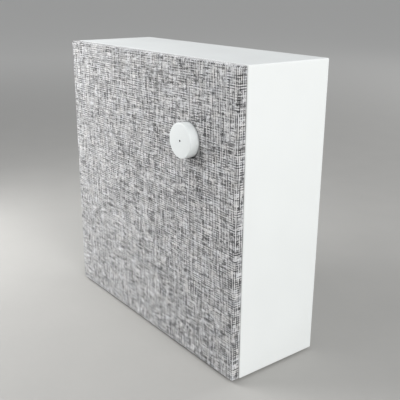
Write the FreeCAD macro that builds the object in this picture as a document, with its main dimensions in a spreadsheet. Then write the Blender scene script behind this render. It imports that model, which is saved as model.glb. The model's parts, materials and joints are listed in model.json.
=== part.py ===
"""Box loudspeaker with a cloth front, one control knob, and a woofer and a tweeter behind the cloth.

Millimetres. +X is the right-hand side seen from the front, the front faces -Y and +Z is up.
The origin is at the middle of the whole footprint, level with the soles of the feet.
"""
import FreeCAD, Part
import math
import os

import Sketcher

# Driving sizes: name, value, meaning
SIZES = [
    ("cabinet_width", 200.0, "outside width of the cabinet"),
    ("cabinet_height", 200.0, "outside height of the cabinet"),
    ("cabinet_depth", 65.7, "front edge to back edge of the cabinet sleeve"),
    ("wall", 3.5, "cabinet wall"),
    ("rim_wall", 2.0, "cabinet wall beside the baffle and the rear panel"),
    ("edge_radius", 0.9, "rounding of the cabinet's outer edges"),
    ("post_size", 10.0, "square corner posts inside the cabinet"),
    ("panel_fit", 0.3, "gap round the baffle and the rear panel"),
    ("baffle_thickness", 4.0, "front baffle plate"),
    ("panel_thickness", 3.0, "rear panel plate"),
    ("rear_recess", 2.6, "rear panel below the cabinet's back edge"),
    ("seal_thickness", 1.0, "foam seals behind the baffle and the rear panel"),
    ("foot_proud", 1.5, "height of the cabinet above its standing surface"),
    ("foot_radius", 7.0, "feet"),
    ("foot_recess", 1.0, "feet sunk into the cabinet bottom"),
    ("foot_fit", 0.2, "gap round a foot in its recess"),
    ("foot_inset", 18.0, "foot axis in from the cabinet's sides"),
    ("foot_chamfer", 0.5, "chamfer round a foot's sole"),
    ("screw_shank", 1.5, "case screw shank radius"),
    ("screw_head", 2.8, "case screw head radius"),
    ("screw_head_height", 1.8, "case screw head height"),
    ("screw_length", 12.0, "case screw below its head"),
    ("small_shank", 1.1, "small screw shank radius"),
    ("small_head", 2.1, "small screw head radius"),
    ("small_head_height", 1.4, "small screw head height"),
    ("small_length", 5.5, "small screw below its head"),
    ("pilot_fit", 0.05, "pilot hole larger than a screw shank"),
    ("screw_fit", 0.25, "clearance hole larger than a screw"),
    ("pilot_spare", 1.0, "pilot hole deeper than its screw"),
    ("grille_depth", 6.0, "cloth face to the back of the pull-off front"),
    ("grille_gap", 0.3, "shadow gap between the front and the cabinet"),
    ("cloth_thickness", 0.8, "cloth"),
    ("cloth_fit", 0.05, "air between the cloth and the frame edge"),
    ("grille_edge_radius", 2.6, "cloth rounding over the front's edges"),
    ("grille_corner_extra", 0.7, "rounding at the front's corners beyond that of its edges"),
    ("grille_rim_width", 8.0, "solid rim of the frame"),
    ("hem_width", 5.0, "cloth turned over the back of the rim"),
    ("rib_pitch", 17.0, "widest spacing of the lattice ribs"),
    ("rib_width", 3.0, "lattice rib"),
    ("rib_depth", 2.2, "lattice rib, front to back"),
    ("gusset_size", 26.0, "square corner gussets of the frame"),
    ("collar_width", 3.0, "frame collar round the knob hole"),
    ("peg_inset", 20.0, "peg axis in from the cabinet's sides"),
    ("peg_radius", 2.5, "push-in pegs of the front"),
    ("peg_length", 9.0, "peg behind its gusset"),
    ("peg_taper", 0.8, "chamfer at a peg's tip"),
    ("peg_fit", 0.1, "gap between a peg and its cup"),
    ("cup_wall", 1.6, "rubber peg cup"),
    ("cup_flange", 1.4, "peg cup flange beyond its sleeve"),
    ("cup_flange_thickness", 0.7, "peg cup flange"),
    ("cup_length", 9.0, "peg cup sleeve behind the baffle face"),
    ("knob_radius", 11.25, "control knob"),
    ("knob_proud", 6.0, "knob face in front of the cloth"),
    ("knob_offset_x", 48.0, "knob axis in from the cabinet's right side"),
    ("knob_offset_up", 50.0, "knob axis above the middle"),
    ("knob_face", 2.2, "knob face thickness"),
    ("knob_wall", 1.8, "knob skirt"),
    ("knob_hub", 4.8, "knob hub radius"),
    ("knob_edge_radius", 0.7, "rounding of the knob's front edge"),
    ("knob_lift", 1.3, "knob's back edge in front of the baffle"),
    ("knob_hole_gap", 0.75, "gap between the knob and the cloth"),
    ("knob_travel", 0.6, "press of the knob"),
    ("light_tip", 0.6, "indicator tip radius at the knob face"),
    ("light_rod", 1.1, "light pipe radius inside the shaft"),
    ("light_fit", 0.05, "gap round the indicator tip"),
    ("shaft_radius", 3.0, "control shaft"),
    ("shaft_bore", 1.3, "hollow of the control shaft"),
    ("shaft_flat", 2.1, "shaft flat, distance from the axis"),
    ("shaft_fit", 0.05, "gap between the shaft and what it passes through"),
    ("shaft_tip_gap", 0.3, "shaft end behind the knob face"),
    ("bush_radius", 3.6, "threaded bush of the encoder"),
    ("bush_length", 4.3, "bush in front of the encoder case"),
    ("bush_hole_gap", 0.6, "gap round the bush in the baffle"),
    ("encoder_size", 12.5, "square encoder case"),
    ("encoder_wall", 1.2, "front wall of the encoder case"),
    ("encoder_setback", 1.0, "encoder case behind the baffle"),
    ("encoder_cavity", 5.2, "inside radius of the encoder case"),
    ("encoder_play", 0.05, "running gap inside the encoder"),
    ("encoder_base_thickness", 1.2, "rear cover of the encoder"),
    ("rotor_radius", 4.8, "flange of the shaft inside the encoder"),
    ("rotor_thickness", 1.2, "thickness of that flange"),
    ("plunger_radius", 3.2, "press switch plunger"),
    ("plunger_thickness", 1.4, "press switch plunger, front to back"),
    ("press_spare", 0.15, "room behind the plunger when pressed"),
    ("led_radius", 1.0, "indicator lamp"),
    ("led_height", 1.4, "indicator lamp on its board"),
    ("board_thickness", 1.6, "circuit boards"),
    ("control_board_width", 36.0, "control board"),
    ("control_board_height", 22.0, "control board"),
    ("control_screw_spacing", 26.0, "control board screws"),
    ("boss_radius", 3.2, "screw bosses"),
    ("woofer_drop", 26.0, "woofer axis below the middle"),
    ("woofer_inset", 2.2, "woofer trim behind the baffle face"),
    ("woofer_flange", 54.5, "woofer basket flange radius"),
    ("woofer_fit", 0.3, "gap round a driver in its seat"),
    ("seat_wall", 3.0, "rings behind the baffle that seat the drivers"),
    ("woofer_screw_circle", 52.2, "radius of the woofer's screw circle"),
    ("trim_thickness", 1.6, "woofer trim ring"),
    ("trim_outer", 49.8, "woofer trim ring outside radius"),
    ("basket_sheet", 1.2, "pressed basket sheet"),
    ("basket_mouth", 43.0, "basket opening radius at the flange"),
    ("basket_ledge", 32.5, "outside radius of the spider ledge"),
    ("basket_waist", 28.5, "inside radius of the basket below the ledge"),
    ("basket_throat", 14.5, "hole in the basket floor"),
    ("ledge_depth", 20.0, "spider ledge behind the trim face"),
    ("basket_depth", 26.0, "basket floor behind the trim face"),
    ("basket_window", 15.0, "half width of a basket window"),
    ("terminal_width", 12.0, "woofer terminal strip, along the basket's ledge"),
    ("terminal_clear", 0.5, "woofer terminal strip in from the ledge's sides and the top plate"),
    ("terminal_pitch", 7.0, "woofer leads"),
    ("surround_outer", 46.4, "outside radius of the surround"),
    ("roll_middle", 39.0, "middle radius of the surround roll"),
    ("roll_radius", 3.5, "height of the surround roll"),
    ("surround_thickness", 0.5, "rubber of the surround"),
    ("cone_land", 33.5, "radius where the cone's slope begins"),
    ("cone_thickness", 0.8, "paper cone, front to back"),
    ("cone_neck_depth", 15.0, "cone neck behind the trim face"),
    ("glue_gap", 0.05, "glue line between parts of the moving system"),
    ("dust_cap_radius", 16.0, "dust cap"),
    ("dust_cap_rise", 4.5, "height of the dust cap's dome"),
    ("dust_cap_thickness", 0.6, "dust cap"),
    ("coil_radius", 12.5, "outside radius of the coil former"),
    ("former_thickness", 0.3, "coil former"),
    ("winding_thickness", 0.5, "copper winding"),
    ("former_start", 13.5, "front end of the former behind the trim face"),
    ("winding_start", 26.4, "front end of the winding behind the trim face"),
    ("coil_end", 33.0, "back end of the coil behind the trim face"),
    ("spider_thickness", 0.5, "woven spider"),
    ("spider_wave", 1.2, "height of a spider wave"),
    ("coil_gap", 0.6, "air gap beside the coil"),
    ("plate_radius", 30.0, "top plate and yoke radius"),
    ("plate_thickness", 5.0, "top plate and yoke"),
    ("magnet_bore", 17.0, "ring magnet bore radius"),
    ("magnet_radius", 36.0, "ring magnet radius"),
    ("magnet_height", 11.0, "ring magnet"),
    ("tweeter_offset_x", 50.0, "tweeter axis in from the cabinet's left side"),
    ("tweeter_offset_up", 52.0, "tweeter axis above the middle"),
    ("tweeter_inset", 0.3, "tweeter plate behind the baffle face"),
    ("tweeter_radius", 25.0, "tweeter plate"),
    ("tweeter_plate_thickness", 3.0, "tweeter plate"),
    ("tweeter_throat", 13.5, "opening in the tweeter plate"),
    ("tweeter_flare", 4.0, "widening of that opening towards the front"),
    ("tweeter_lip", 1.2, "straight edge of that opening"),
    ("tweeter_screw_circle", 21.0, "radius of the tweeter's screw circle"),
    ("dome_radius", 10.0, "tweeter dome"),
    ("dome_rise", 2.6, "height of the dome"),
    ("dome_roll", 3.0, "width of the roll round the dome"),
    ("dome_roll_rise", 1.2, "height of that roll"),
    ("dome_land", 2.0, "flat edge of the dome film"),
    ("dome_film", 0.3, "dome film"),
    ("tweeter_coil_length", 4.6, "tweeter coil behind the dome"),
    ("tweeter_pole_radius", 9.2, "tweeter pole plate"),
    ("tweeter_pole_thickness", 2.0, "tweeter pole plate"),
    ("tweeter_magnet_height", 5.5, "tweeter magnet"),
    ("cup_radius", 16.0, "tweeter magnet cup"),
    ("cup_side", 2.0, "wall of the magnet cup"),
    ("cup_floor", 3.0, "floor of the magnet cup"),
    ("cup_clear", 3.2, "pole plate behind the dome film's edge"),
    ("port_up", 60.0, "port axis above the middle"),
    ("port_radius", 15.0, "port bore"),
    ("port_wall", 2.0, "port tube"),
    ("port_length", 42.0, "port tube in front of the panel's back face"),
    ("port_flange", 5.0, "port flange beyond the tube"),
    ("port_flange_thickness", 1.8, "port flange on the panel's back"),
    ("port_flare", 3.0, "rounding of the port's mouth"),
    ("port_fit", 0.2, "gap round the port in the panel"),
    ("tray_clear", 0.5, "connector tray below the woofer's magnet"),
    ("tray_width", 72.0, "connector tray, inside"),
    ("tray_height", 18.0, "connector tray, inside"),
    ("tray_depth", 14.0, "connector tray floor below the panel's back face"),
    ("tray_wall", 2.0, "connector tray"),
    ("tray_flange", 6.5, "connector tray flange beyond its side walls"),
    ("tray_flange_edge", 3.0, "connector tray flange above and below its walls"),
    ("tray_flange_thickness", 2.2, "connector tray flange"),
    ("tray_corner", 3.0, "rounding of the tray's corners"),
    ("tray_fit", 0.3, "gap round the tray in the panel"),
    ("inlet_x", 16.0, "mains inlet right of the middle"),
    ("inlet_width", 19.0, "mains inlet body"),
    ("inlet_height", 11.0, "mains inlet body"),
    ("inlet_flange", 2.0, "mains inlet flange beyond its body"),
    ("inlet_flange_thickness", 1.6, "mains inlet flange"),
    ("inlet_length", 15.0, "mains inlet body in front of the tray floor's back"),
    ("inlet_floor", 2.5, "front wall of the mains inlet"),
    ("inlet_lobe", 3.9, "radius of each half of the inlet's cavity"),
    ("inlet_waist", 2.6, "half height of that cavity between its halves"),
    ("inlet_pin_spacing", 8.6, "mains pins"),
    ("inlet_pin", 1.2, "mains pin radius"),
    ("inlet_pin_setback", 2.5, "mains pin tips inside the cavity"),
    ("inlet_tag", 4.0, "mains pin tags in front of the inlet"),
    ("pin_fit", 0.05, "gap round a pin in its wall"),
    ("jack_x", 16.0, "audio jack left of the middle"),
    ("jack_bore", 1.8, "audio jack bore radius"),
    ("jack_nose", 4.0, "audio jack nose radius"),
    ("jack_nose_proud", 1.2, "audio jack nose behind the tray floor"),
    ("jack_size", 11.0, "square audio jack body"),
    ("jack_length", 14.0, "audio jack body"),
    ("jack_end", 1.5, "closed end of the audio jack"),
    ("jack_fit", 0.15, "gap round the audio jack nose"),
    ("circuit_width", 44.0, "main and power boards"),
    ("circuit_height", 90.0, "main and power boards"),
    ("circuit_up", 75.0, "middle of those boards above the cabinet bottom"),
    ("circuit_side_gap", 4.0, "those boards in from the cabinet wall"),
    ("circuit_standoff", 8.0, "those boards in front of the rear panel"),
    ("circuit_screw_inset", 5.0, "board screws in from the board's edges"),
    ("module_width", 14.0, "radio module"),
    ("module_height", 19.0, "radio module"),
    ("module_thickness", 2.6, "radio module"),
    ("module_up", 28.0, "radio module above the board's middle"),
    ("heatsink_width", 30.0, "amplifier heatsink"),
    ("heatsink_height", 22.0, "amplifier heatsink"),
    ("heatsink_depth", 12.0, "amplifier heatsink"),
    ("heatsink_base", 3.0, "amplifier heatsink base"),
    ("fin_width", 1.6, "heatsink fin"),
    ("fin_pitch", 4.2, "least spacing of the heatsink fins"),
    ("capacitor_radius", 4.0, "output capacitors"),
    ("capacitor_height", 11.0, "output capacitors"),
    ("capacitor_spacing", 11.0, "output capacitors"),
    ("capacitor_drop", 26.0, "output capacitors below the board's middle"),
    ("transformer_width", 26.0, "transformer core"),
    ("transformer_height", 20.0, "transformer core"),
    ("transformer_depth", 17.0, "transformer core"),
    ("transformer_winding", 4.0, "transformer winding beyond the core"),
    ("transformer_up", 10.0, "transformer above the board's middle"),
    ("bulk_radius", 8.0, "bulk capacitor"),
    ("bulk_height", 22.0, "bulk capacitor"),
    ("bulk_drop", 18.0, "bulk capacitor below the board's middle"),
    ("can_rounding", 0.8, "rounded end of a capacitor can"),
    ("lead_radius", 0.8, "leads of the drivers"),
    ("control_lead_radius", 1.0, "lead of the control board"),
    ("mains_lead_radius", 1.0, "leads of the mains inlet"),
    ("tweeter_lead_pitch", 7.0, "tweeter leads"),
]


class Size:
    """A length written as an expression on the sheet, together with its present value."""

    def __init__(self, text, value):
        self.text = text
        self.value = value

    def __add__(self, other):
        other = as_size(other)
        return Size(f"({self.text} + {other.text})", self.value + other.value)

    def __sub__(self, other):
        other = as_size(other)
        return Size(f"({self.text} - {other.text})", self.value - other.value)

    def __mul__(self, other):
        other = as_size(other)
        return Size(f"({self.text} * {other.text})", self.value * other.value)

    def __truediv__(self, other):
        other = as_size(other)
        return Size(f"({self.text} / {other.text})", self.value / other.value)

    def __neg__(self):
        return Size(f"(0 - {self.text})", -self.value)


def as_size(value):
    """Let plain numbers stand beside sizes."""
    return value if isinstance(value, Size) else Size(str(float(value)), float(value))


def root(value):
    """Square root of a size."""
    return Size(f"sqrt({value.text})", math.sqrt(value.value))


def whole(value):
    """Largest whole number in a size."""
    return Size(f"floor({value.text})", math.floor(value.value))


def arc_radius(half_chord, rise):
    """Radius of a shallow arc over a chord."""
    return (half_chord * half_chord + rise * rise) / (rise * 2)


class Sheet:
    """The driving sizes, read by name."""

    def __init__(self, document, rows):
        self.cells = document.addObject("Spreadsheet::Sheet", "Sizes")
        for row, (name, value, meaning) in enumerate(rows, start=1):
            self.cells.set(f"A{row}", meaning)
            self.cells.set(f"B{row}", str(value))
            self.cells.setAlias(f"B{row}", name)
        document.recompute()

    def __getattr__(self, name):
        return Size(f"Sizes.{name}", float(self.cells.get(name)))


doc = FreeCAD.newDocument("Speaker")
S = Sheet(doc, SIZES)
LEFT = "left"
RIGHT = "right"
ZERO = as_size(0)
bodies = []

# Planes across the speaker, from the knob face to the back edge
OVERALL_DEPTH = S.knob_proud + S.grille_depth + S.grille_gap + S.cabinet_depth
KNOB_FRONT = -OVERALL_DEPTH / 2
CLOTH_FRONT = KNOB_FRONT + S.knob_proud
FRAME_FRONT = CLOTH_FRONT + S.cloth_thickness
GRILLE_BACK = CLOTH_FRONT + S.grille_depth
FRAME_BACK = GRILLE_BACK - S.cloth_thickness
CABINET_FRONT = GRILLE_BACK + S.grille_gap
BAFFLE_BACK = CABINET_FRONT + S.baffle_thickness
FRONT_LEDGE = BAFFLE_BACK + S.seal_thickness
CABINET_BACK = CABINET_FRONT + S.cabinet_depth
PANEL_BACK = CABINET_BACK - S.rear_recess
PANEL_FRONT = PANEL_BACK - S.panel_thickness
REAR_LEDGE = PANEL_FRONT - S.seal_thickness
CIRCUIT_BACK = PANEL_FRONT - S.circuit_standoff
CIRCUIT_FRONT = CIRCUIT_BACK - S.board_thickness
TRAY_FLOOR_BACK = PANEL_BACK - S.tray_depth
TRAY_FLOOR_FRONT = TRAY_FLOOR_BACK - S.tray_wall

# Sides, bottom, top and the axes that run front to back
HALF_WIDTH = S.cabinet_width / 2
HALF_HEIGHT = S.cabinet_height / 2
BASE = S.foot_proud
MIDDLE = BASE + HALF_HEIGHT
TOP = BASE + S.cabinet_height
KNOB_AXIS = (HALF_WIDTH - S.knob_offset_x, MIDDLE + S.knob_offset_up)
WOOFER_AXIS = (ZERO, MIDDLE - S.woofer_drop)
TWEETER_AXIS = (S.tweeter_offset_x - HALF_WIDTH, MIDDLE + S.tweeter_offset_up)
PORT_AXIS = (ZERO, MIDDLE + S.port_up)
TRAY_HALF_X = S.tray_width / 2 + S.tray_wall
TRAY_HALF_Z = S.tray_height / 2 + S.tray_wall
CONNECTOR_Z = WOOFER_AXIS[1] - S.magnet_radius - S.tray_clear - TRAY_HALF_Z
INLET_AXIS = (S.inlet_x, CONNECTOR_Z)
JACK_AXIS = (-S.jack_x, CONNECTOR_Z)
TRAY_AXIS = (ZERO, CONNECTOR_Z)
CIRCUIT_X = HALF_WIDTH - S.wall - S.circuit_side_gap - S.circuit_width / 2
CIRCUIT_Z = BASE + S.circuit_up
PILOT = S.screw_shank + S.pilot_fit
SMALL_PILOT = S.small_shank + S.pilot_fit
SMALL_HOLE = S.small_shank + S.screw_fit


def new_body(label):
    """Start a piece whose label names its file."""
    body = doc.addObject("PartDesign::Body", label)
    body.Label = label
    bodies.append(body)
    return body


def circle(u, v, radius):
    """A full circle for a sketch."""
    return ("circle", as_size(u), as_size(v), radius)


def rectangle(u_low, v_low, u_high, v_high):
    """Four corners, anticlockwise."""
    return [(u_low, v_low), (u_high, v_low), (u_high, v_high), (u_low, v_high)]


def rounded_rectangle(u_low, v_low, u_high, v_high, radius):
    """A rectangle with arcs at its corners, anticlockwise."""
    return [
        (u_low + radius, v_low), (u_high - radius, v_low, radius, LEFT),
        (u_high, v_low + radius), (u_high, v_high - radius, radius, LEFT),
        (u_high - radius, v_high), (u_low + radius, v_high, radius, LEFT),
        (u_low, v_high - radius), (u_low, v_low + radius, radius, LEFT),
    ]


def four_ways(across, up, centre=(ZERO, MIDDLE)):
    """The four points that lie symmetrically about a centre."""
    return [(centre[0] + across * i, centre[1] + up * k) for i in (-1, 1) for k in (-1, 1)]


def ring_points(radius, count, start_degrees):
    """Points evenly round a circle about the sketch's own origin."""
    points = []
    for k in range(count):
        angle = math.radians(start_degrees + 360.0 * k / count)
        points.append((radius * round(math.cos(angle), 9), radius * round(math.sin(angle), 9)))
    return points


def bind(sketch, constraint, value):
    """Add a dimension that follows the sheet."""
    index = sketch.addConstraint(constraint)
    sketch.setExpression(f"Constraints[{index}]", value.text)


def arc_between(start, stop, radius, turn):
    """The shorter arc from start to stop, and whether it runs with the sketch's own sense."""
    chord = stop - start
    lift = math.sqrt(max(radius ** 2 - (chord.Length / 2) ** 2, 0.0)) / chord.Length
    side = 1 if turn == LEFT else -1
    centre = (start + stop) * 0.5 + FreeCAD.Vector(-chord.y, chord.x, 0) * lift * side
    first, last = (start, stop) if turn == LEFT else (stop, start)
    first_angle = math.atan2(first.y - centre.y, first.x - centre.x)
    last_angle = math.atan2(last.y - centre.y, last.x - centre.x)
    if last_angle < first_angle:
        last_angle += 2 * math.pi
    full = Part.Circle(centre, FreeCAD.Vector(0, 0, 1), radius)
    return Part.ArcOfCircle(full, first_angle, last_angle), turn == LEFT


def draw_circle(sketch, u, v, radius):
    """A dimensioned circle."""
    centre = FreeCAD.Vector(u.value, v.value, 0)
    index = sketch.addGeometry(Part.Circle(centre, FreeCAD.Vector(0, 0, 1), radius.value), False)
    bind(sketch, Sketcher.Constraint("Radius", index, radius.value), radius)
    bind(sketch, Sketcher.Constraint("DistanceX", -1, 1, index, 3, u.value), u)
    bind(sketch, Sketcher.Constraint("DistanceY", -1, 1, index, 3, v.value), v)


def draw_loop(sketch, corners):
    """A closed loop of lines and arcs with every corner dimensioned from the sketch origin."""
    corners = [tuple(as_size(x) if k < 2 else x for k, x in enumerate(c)) for c in corners]
    points = [FreeCAD.Vector(c[0].value, c[1].value, 0) for c in corners]
    ends = []
    for k, corner in enumerate(corners):
        start, stop = points[k], points[(k + 1) % len(points)]
        if len(corner) == 2:
            index = sketch.addGeometry(Part.LineSegment(start, stop), False)
            ends.append((index, 1, 2))
            continue
        arc, forward = arc_between(start, stop, corner[2].value, corner[3])
        index = sketch.addGeometry(arc, False)
        ends.append((index, 1, 2) if forward else (index, 2, 1))
    for k, (index, _, last) in enumerate(ends):
        following, first, _ = ends[(k + 1) % len(ends)]
        sketch.addConstraint(Sketcher.Constraint("Coincident", index, last, following, first))
    for (index, first, _), corner in zip(ends, corners):
        bind(sketch, Sketcher.Constraint("DistanceX", -1, 1, index, first, corner[0].value), corner[0])
        bind(sketch, Sketcher.Constraint("DistanceY", -1, 1, index, first, corner[1].value), corner[1])
        if len(corner) > 2:
            bind(sketch, Sketcher.Constraint("Radius", index, corner[2].value), corner[2])


def new_sketch(body, name, role, offset, loops):
    """A sketch parallel to one of the body's own planes, moved by an offset in that plane's axes."""
    sketch = body.newObject("Sketcher::SketchObject", name)
    plane = next(f for f in body.Origin.OriginFeatures if f.Role == role)
    sketch.AttachmentSupport = (plane, [""])
    sketch.MapMode = "FlatFace"
    for axis, distance in zip("xyz", offset):
        sketch.setExpression(f"AttachmentOffset.Base.{axis}", distance.text)
    for loop in loops:
        if loop[0] == "circle":
            draw_circle(sketch, *loop[1:])
        else:
            draw_loop(sketch, loop)
    return sketch


def extrude(body, kind, name, loops, y_from, y_to, centre):
    """Pad or pocket towards the back, between two planes across the speaker."""
    offset = (centre[0], centre[1], -y_from)
    sketch = new_sketch(body, name + "Sketch", "XZ_Plane", offset, loops)
    feature = body.newObject(kind, name)
    feature.Profile = sketch
    feature.Reversed = kind == "PartDesign::Pad"
    feature.setExpression("Length", (y_to - y_from).text)
    return feature


def pad(body, name, loops, y_from, y_to, centre=(ZERO, ZERO)):
    """Add material between two planes across the speaker."""
    return extrude(body, "PartDesign::Pad", name, loops, y_from, y_to, centre)


def pocket(body, name, loops, y_from, y_to, centre=(ZERO, ZERO)):
    """Remove material between two planes across the speaker, and make sure that it cut."""
    doc.recompute()
    before = body.Shape.Volume
    feature = extrude(body, "PartDesign::Pocket", name, loops, y_from, y_to, centre)
    doc.recompute()
    if not body.Shape.Volume < before:
        raise RuntimeError(f"{body.Label}: {name} cuts nothing")
    return feature


def revolve(body, name, loops, centre):
    """Turn a profile of (radius, y) points about an axis that runs front to back."""
    offset = (centre[0], ZERO, centre[1])
    sketch = new_sketch(body, name + "Sketch", "XY_Plane", offset, loops)
    feature = body.newObject("PartDesign::Revolution", name)
    feature.Profile = sketch
    feature.ReferenceAxis = (sketch, ["V_Axis"])
    feature.Angle = 360
    return feature


def pattern_round(body, feature, count):
    """Repeat a feature round the axis through its own sketch's origin."""
    pattern = body.newObject("PartDesign::PolarPattern", feature.Name + "Round")
    pattern.Originals = [feature]
    pattern.Axis = (feature.Profile[0], ["N_Axis"])
    pattern.Angle = 360
    pattern.Occurrences = count
    body.Tip = pattern


def pattern_along(body, feature, axis, length, count):
    """Repeat a feature along one of its own sketch's axes."""
    pattern = body.newObject("PartDesign::LinearPattern", feature.Name + "Row")
    pattern.Originals = [feature]
    pattern.Direction = (feature.Profile[0], [axis])
    pattern.setExpression("Length", length.text)
    pattern.setExpression("Occurrences", count.text)
    body.Tip = pattern
    return pattern


def edge_names(shape, chosen):
    """Names of the edges whose middle passes a test."""
    return [f"Edge{k}" for k, edge in enumerate(shape.Edges, start=1) if chosen(edge.CenterOfMass)]


def near(value, size):
    """Whether a coordinate lies on a plane."""
    return abs(value - size.value) < 1e-4


def dress_edges(body, kind, name, size_property, size, chosen):
    """Fillet or chamfer the chosen edges of a body as it stands."""
    doc.recompute()
    base = body.Tip
    feature = body.newObject(kind, name)
    feature.Base = (base, edge_names(base.Shape, chosen))
    feature.setExpression(size_property, size.text)
    return feature


def fillet(body, name, radius, chosen):
    """Round the chosen edges."""
    return dress_edges(body, "PartDesign::Fillet", name, "Radius", radius, chosen)


def chamfer(body, name, width, chosen):
    """Bevel the chosen edges."""
    return dress_edges(body, "PartDesign::Chamfer", name, "Size", width, chosen)


def add_screws(label, points, seat, towards_back, head, head_height, shank, length):
    """A group of equal screws whose heads bear on one plane."""
    body = new_body(label)
    heads = [circle(u, v, head) for u, v in points]
    shanks = [circle(u, v, shank) for u, v in points]
    if towards_back:
        pad(body, label + "_heads", heads, seat - head_height, seat)
        pad(body, label + "_shanks", shanks, seat, seat + length)
    else:
        pad(body, label + "_heads", heads, seat, seat + head_height)
        pad(body, label + "_shanks", shanks, seat - length, seat)


def add_case_screws(label, points, seat, towards_back):
    """Screws of the size that holds the case together."""
    add_screws(label, points, seat, towards_back, S.screw_head, S.screw_head_height,
               S.screw_shank, S.screw_length)


def add_small_screws(label, points, seat, towards_back):
    """Screws of the size that holds drivers, boards and the tray."""
    add_screws(label, points, seat, towards_back, S.small_head, S.small_head_height,
               S.small_shank, S.small_length)


# Cabinet

CORNER_X = HALF_WIDTH - S.wall - S.post_size / 2
CORNER_Z = HALF_HEIGHT - S.wall - S.post_size / 2
CORNER_SCREWS = four_ways(CORNER_X, CORNER_Z)
OUTSIDE = rectangle(-HALF_WIDTH, BASE, HALF_WIDTH, TOP)
FOOT_X = HALF_WIDTH - S.foot_inset
FOOT_REACH = S.cabinet_depth / 2 - S.foot_inset
FOOT_MIDDLE = CABINET_FRONT + S.cabinet_depth / 2
FEET = {
    "foot_front_left": (-FOOT_X, FOOT_MIDDLE - FOOT_REACH),
    "foot_front_right": (FOOT_X, FOOT_MIDDLE - FOOT_REACH),
    "foot_rear_left": (-FOOT_X, FOOT_MIDDLE + FOOT_REACH),
    "foot_rear_right": (FOOT_X, FOOT_MIDDLE + FOOT_REACH),
}


def inside(inset):
    """The cabinet outline moved in by an inset."""
    return rectangle(-HALF_WIDTH + inset, BASE + inset, HALF_WIDTH - inset, TOP - inset)


def on_box_edge(point):
    """Whether a point lies on one of the twelve edges of the cabinet's box."""
    across = near(abs(point.x), HALF_WIDTH)
    upright = near(point.z, BASE) or near(point.z, TOP)
    deep = near(point.y, CABINET_FRONT) or near(point.y, CABINET_BACK)
    return across + upright + deep == 2


def add_cabinet_shell():
    """Four-sided sleeve with rebates for the baffle and panel, corner posts and foot recesses."""
    body = new_body("cabinet_shell")
    pad(body, "FrontRim", [OUTSIDE, inside(S.rim_wall)], CABINET_FRONT, FRONT_LEDGE)
    pad(body, "Walls", [OUTSIDE, inside(S.wall)], FRONT_LEDGE, REAR_LEDGE)
    pad(body, "RearRim", [OUTSIDE, inside(S.rim_wall)], REAR_LEDGE, CABINET_BACK)
    half = S.post_size / 2
    posts = [rectangle(u - half, v - half, u + half, v + half) for u, v in CORNER_SCREWS]
    pad(body, "Posts", posts, FRONT_LEDGE, REAR_LEDGE)
    pilots = [circle(u, v, PILOT) for u, v in CORNER_SCREWS]
    bite = S.screw_length + S.pilot_spare
    front_seat = CABINET_FRONT + S.screw_head_height
    pocket(body, "FrontPilots", pilots, FRONT_LEDGE, front_seat + bite)
    pocket(body, "RearPilots", pilots, PANEL_BACK - bite, REAR_LEDGE)
    doc.recompute()
    before = body.Shape.Volume
    recesses = [circle(u, v, S.foot_radius + S.foot_fit) for u, v in FEET.values()]
    level = (ZERO, ZERO, BASE + S.foot_recess)
    sketch = new_sketch(body, "FootRecessesSketch", "XY_Plane", level, recesses)
    cut = body.newObject("PartDesign::Pocket", "FootRecesses")
    cut.Profile = sketch
    cut.setExpression("Length", S.foot_recess.text)
    doc.recompute()
    if not body.Shape.Volume < before:
        raise RuntimeError("the foot recesses cut nothing")
    fillet(body, "OuterEdges", S.edge_radius, on_box_edge)


def add_feet():
    """Four round feet that seat in the recesses under the cabinet."""
    for label, (x, y) in FEET.items():
        body = new_body(label)
        loops = [circle(x, y, S.foot_radius)]
        sketch = new_sketch(body, label + "_sketch", "XY_Plane", (ZERO, ZERO, ZERO), loops)
        disc = body.newObject("PartDesign::Pad", label + "_disc")
        disc.Profile = sketch
        disc.setExpression("Length", (S.foot_proud + S.foot_recess).text)
        chamfer(body, label + "_sole", S.foot_chamfer, lambda point: near(point.z, ZERO))


def add_seal(label, y_from):
    """Foam ring on a ledge of the cabinet."""
    body = new_body(label)
    ring = [inside(S.rim_wall + S.panel_fit), inside(S.wall)]
    pad(body, label + "_ring", ring, y_from, y_from + S.seal_thickness)


# Front baffle with the seats of the drivers and the control

WOOFER_FRONT = CABINET_FRONT + S.woofer_inset
FLANGE_FRONT = WOOFER_FRONT + S.trim_thickness
WOOFER_SEAT = FLANGE_FRONT + S.basket_sheet
WOOFER_OPENING = S.basket_mouth + S.basket_sheet * 2 + S.woofer_fit
WOOFER_SCREWS = ring_points(S.woofer_screw_circle, 4, 45)
TWEETER_FRONT = CABINET_FRONT + S.tweeter_inset
TWEETER_SEAT = TWEETER_FRONT + S.tweeter_plate_thickness
TWEETER_SCREWS = ring_points(S.tweeter_screw_circle, 3, 90)
ENCODER_FRONT = BAFFLE_BACK + S.encoder_setback
ROTOR_FRONT = ENCODER_FRONT + S.encoder_wall + S.encoder_play
ROTOR_BACK = ROTOR_FRONT + S.rotor_thickness
PLUNGER_FRONT = ROTOR_BACK + S.encoder_play
PLUNGER_BACK = PLUNGER_FRONT + S.plunger_thickness
ENCODER_BACK = PLUNGER_BACK + S.knob_travel + S.press_spare
CONTROL_FRONT = ENCODER_BACK + S.encoder_base_thickness
CONTROL_BACK = CONTROL_FRONT + S.board_thickness
CONTROL_SCREWS = [(S.control_screw_spacing / 2 * side, ZERO) for side in (-1, 1)]
PEGS = four_ways(HALF_WIDTH - S.peg_inset, HALF_HEIGHT - S.peg_inset)
CUP_OUTSIDE = S.peg_radius + S.peg_fit + S.cup_wall


def around(axis, points):
    """Points about an axis, moved to the speaker's own frame."""
    return [(axis[0] + u, axis[1] + v) for u, v in points]


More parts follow.
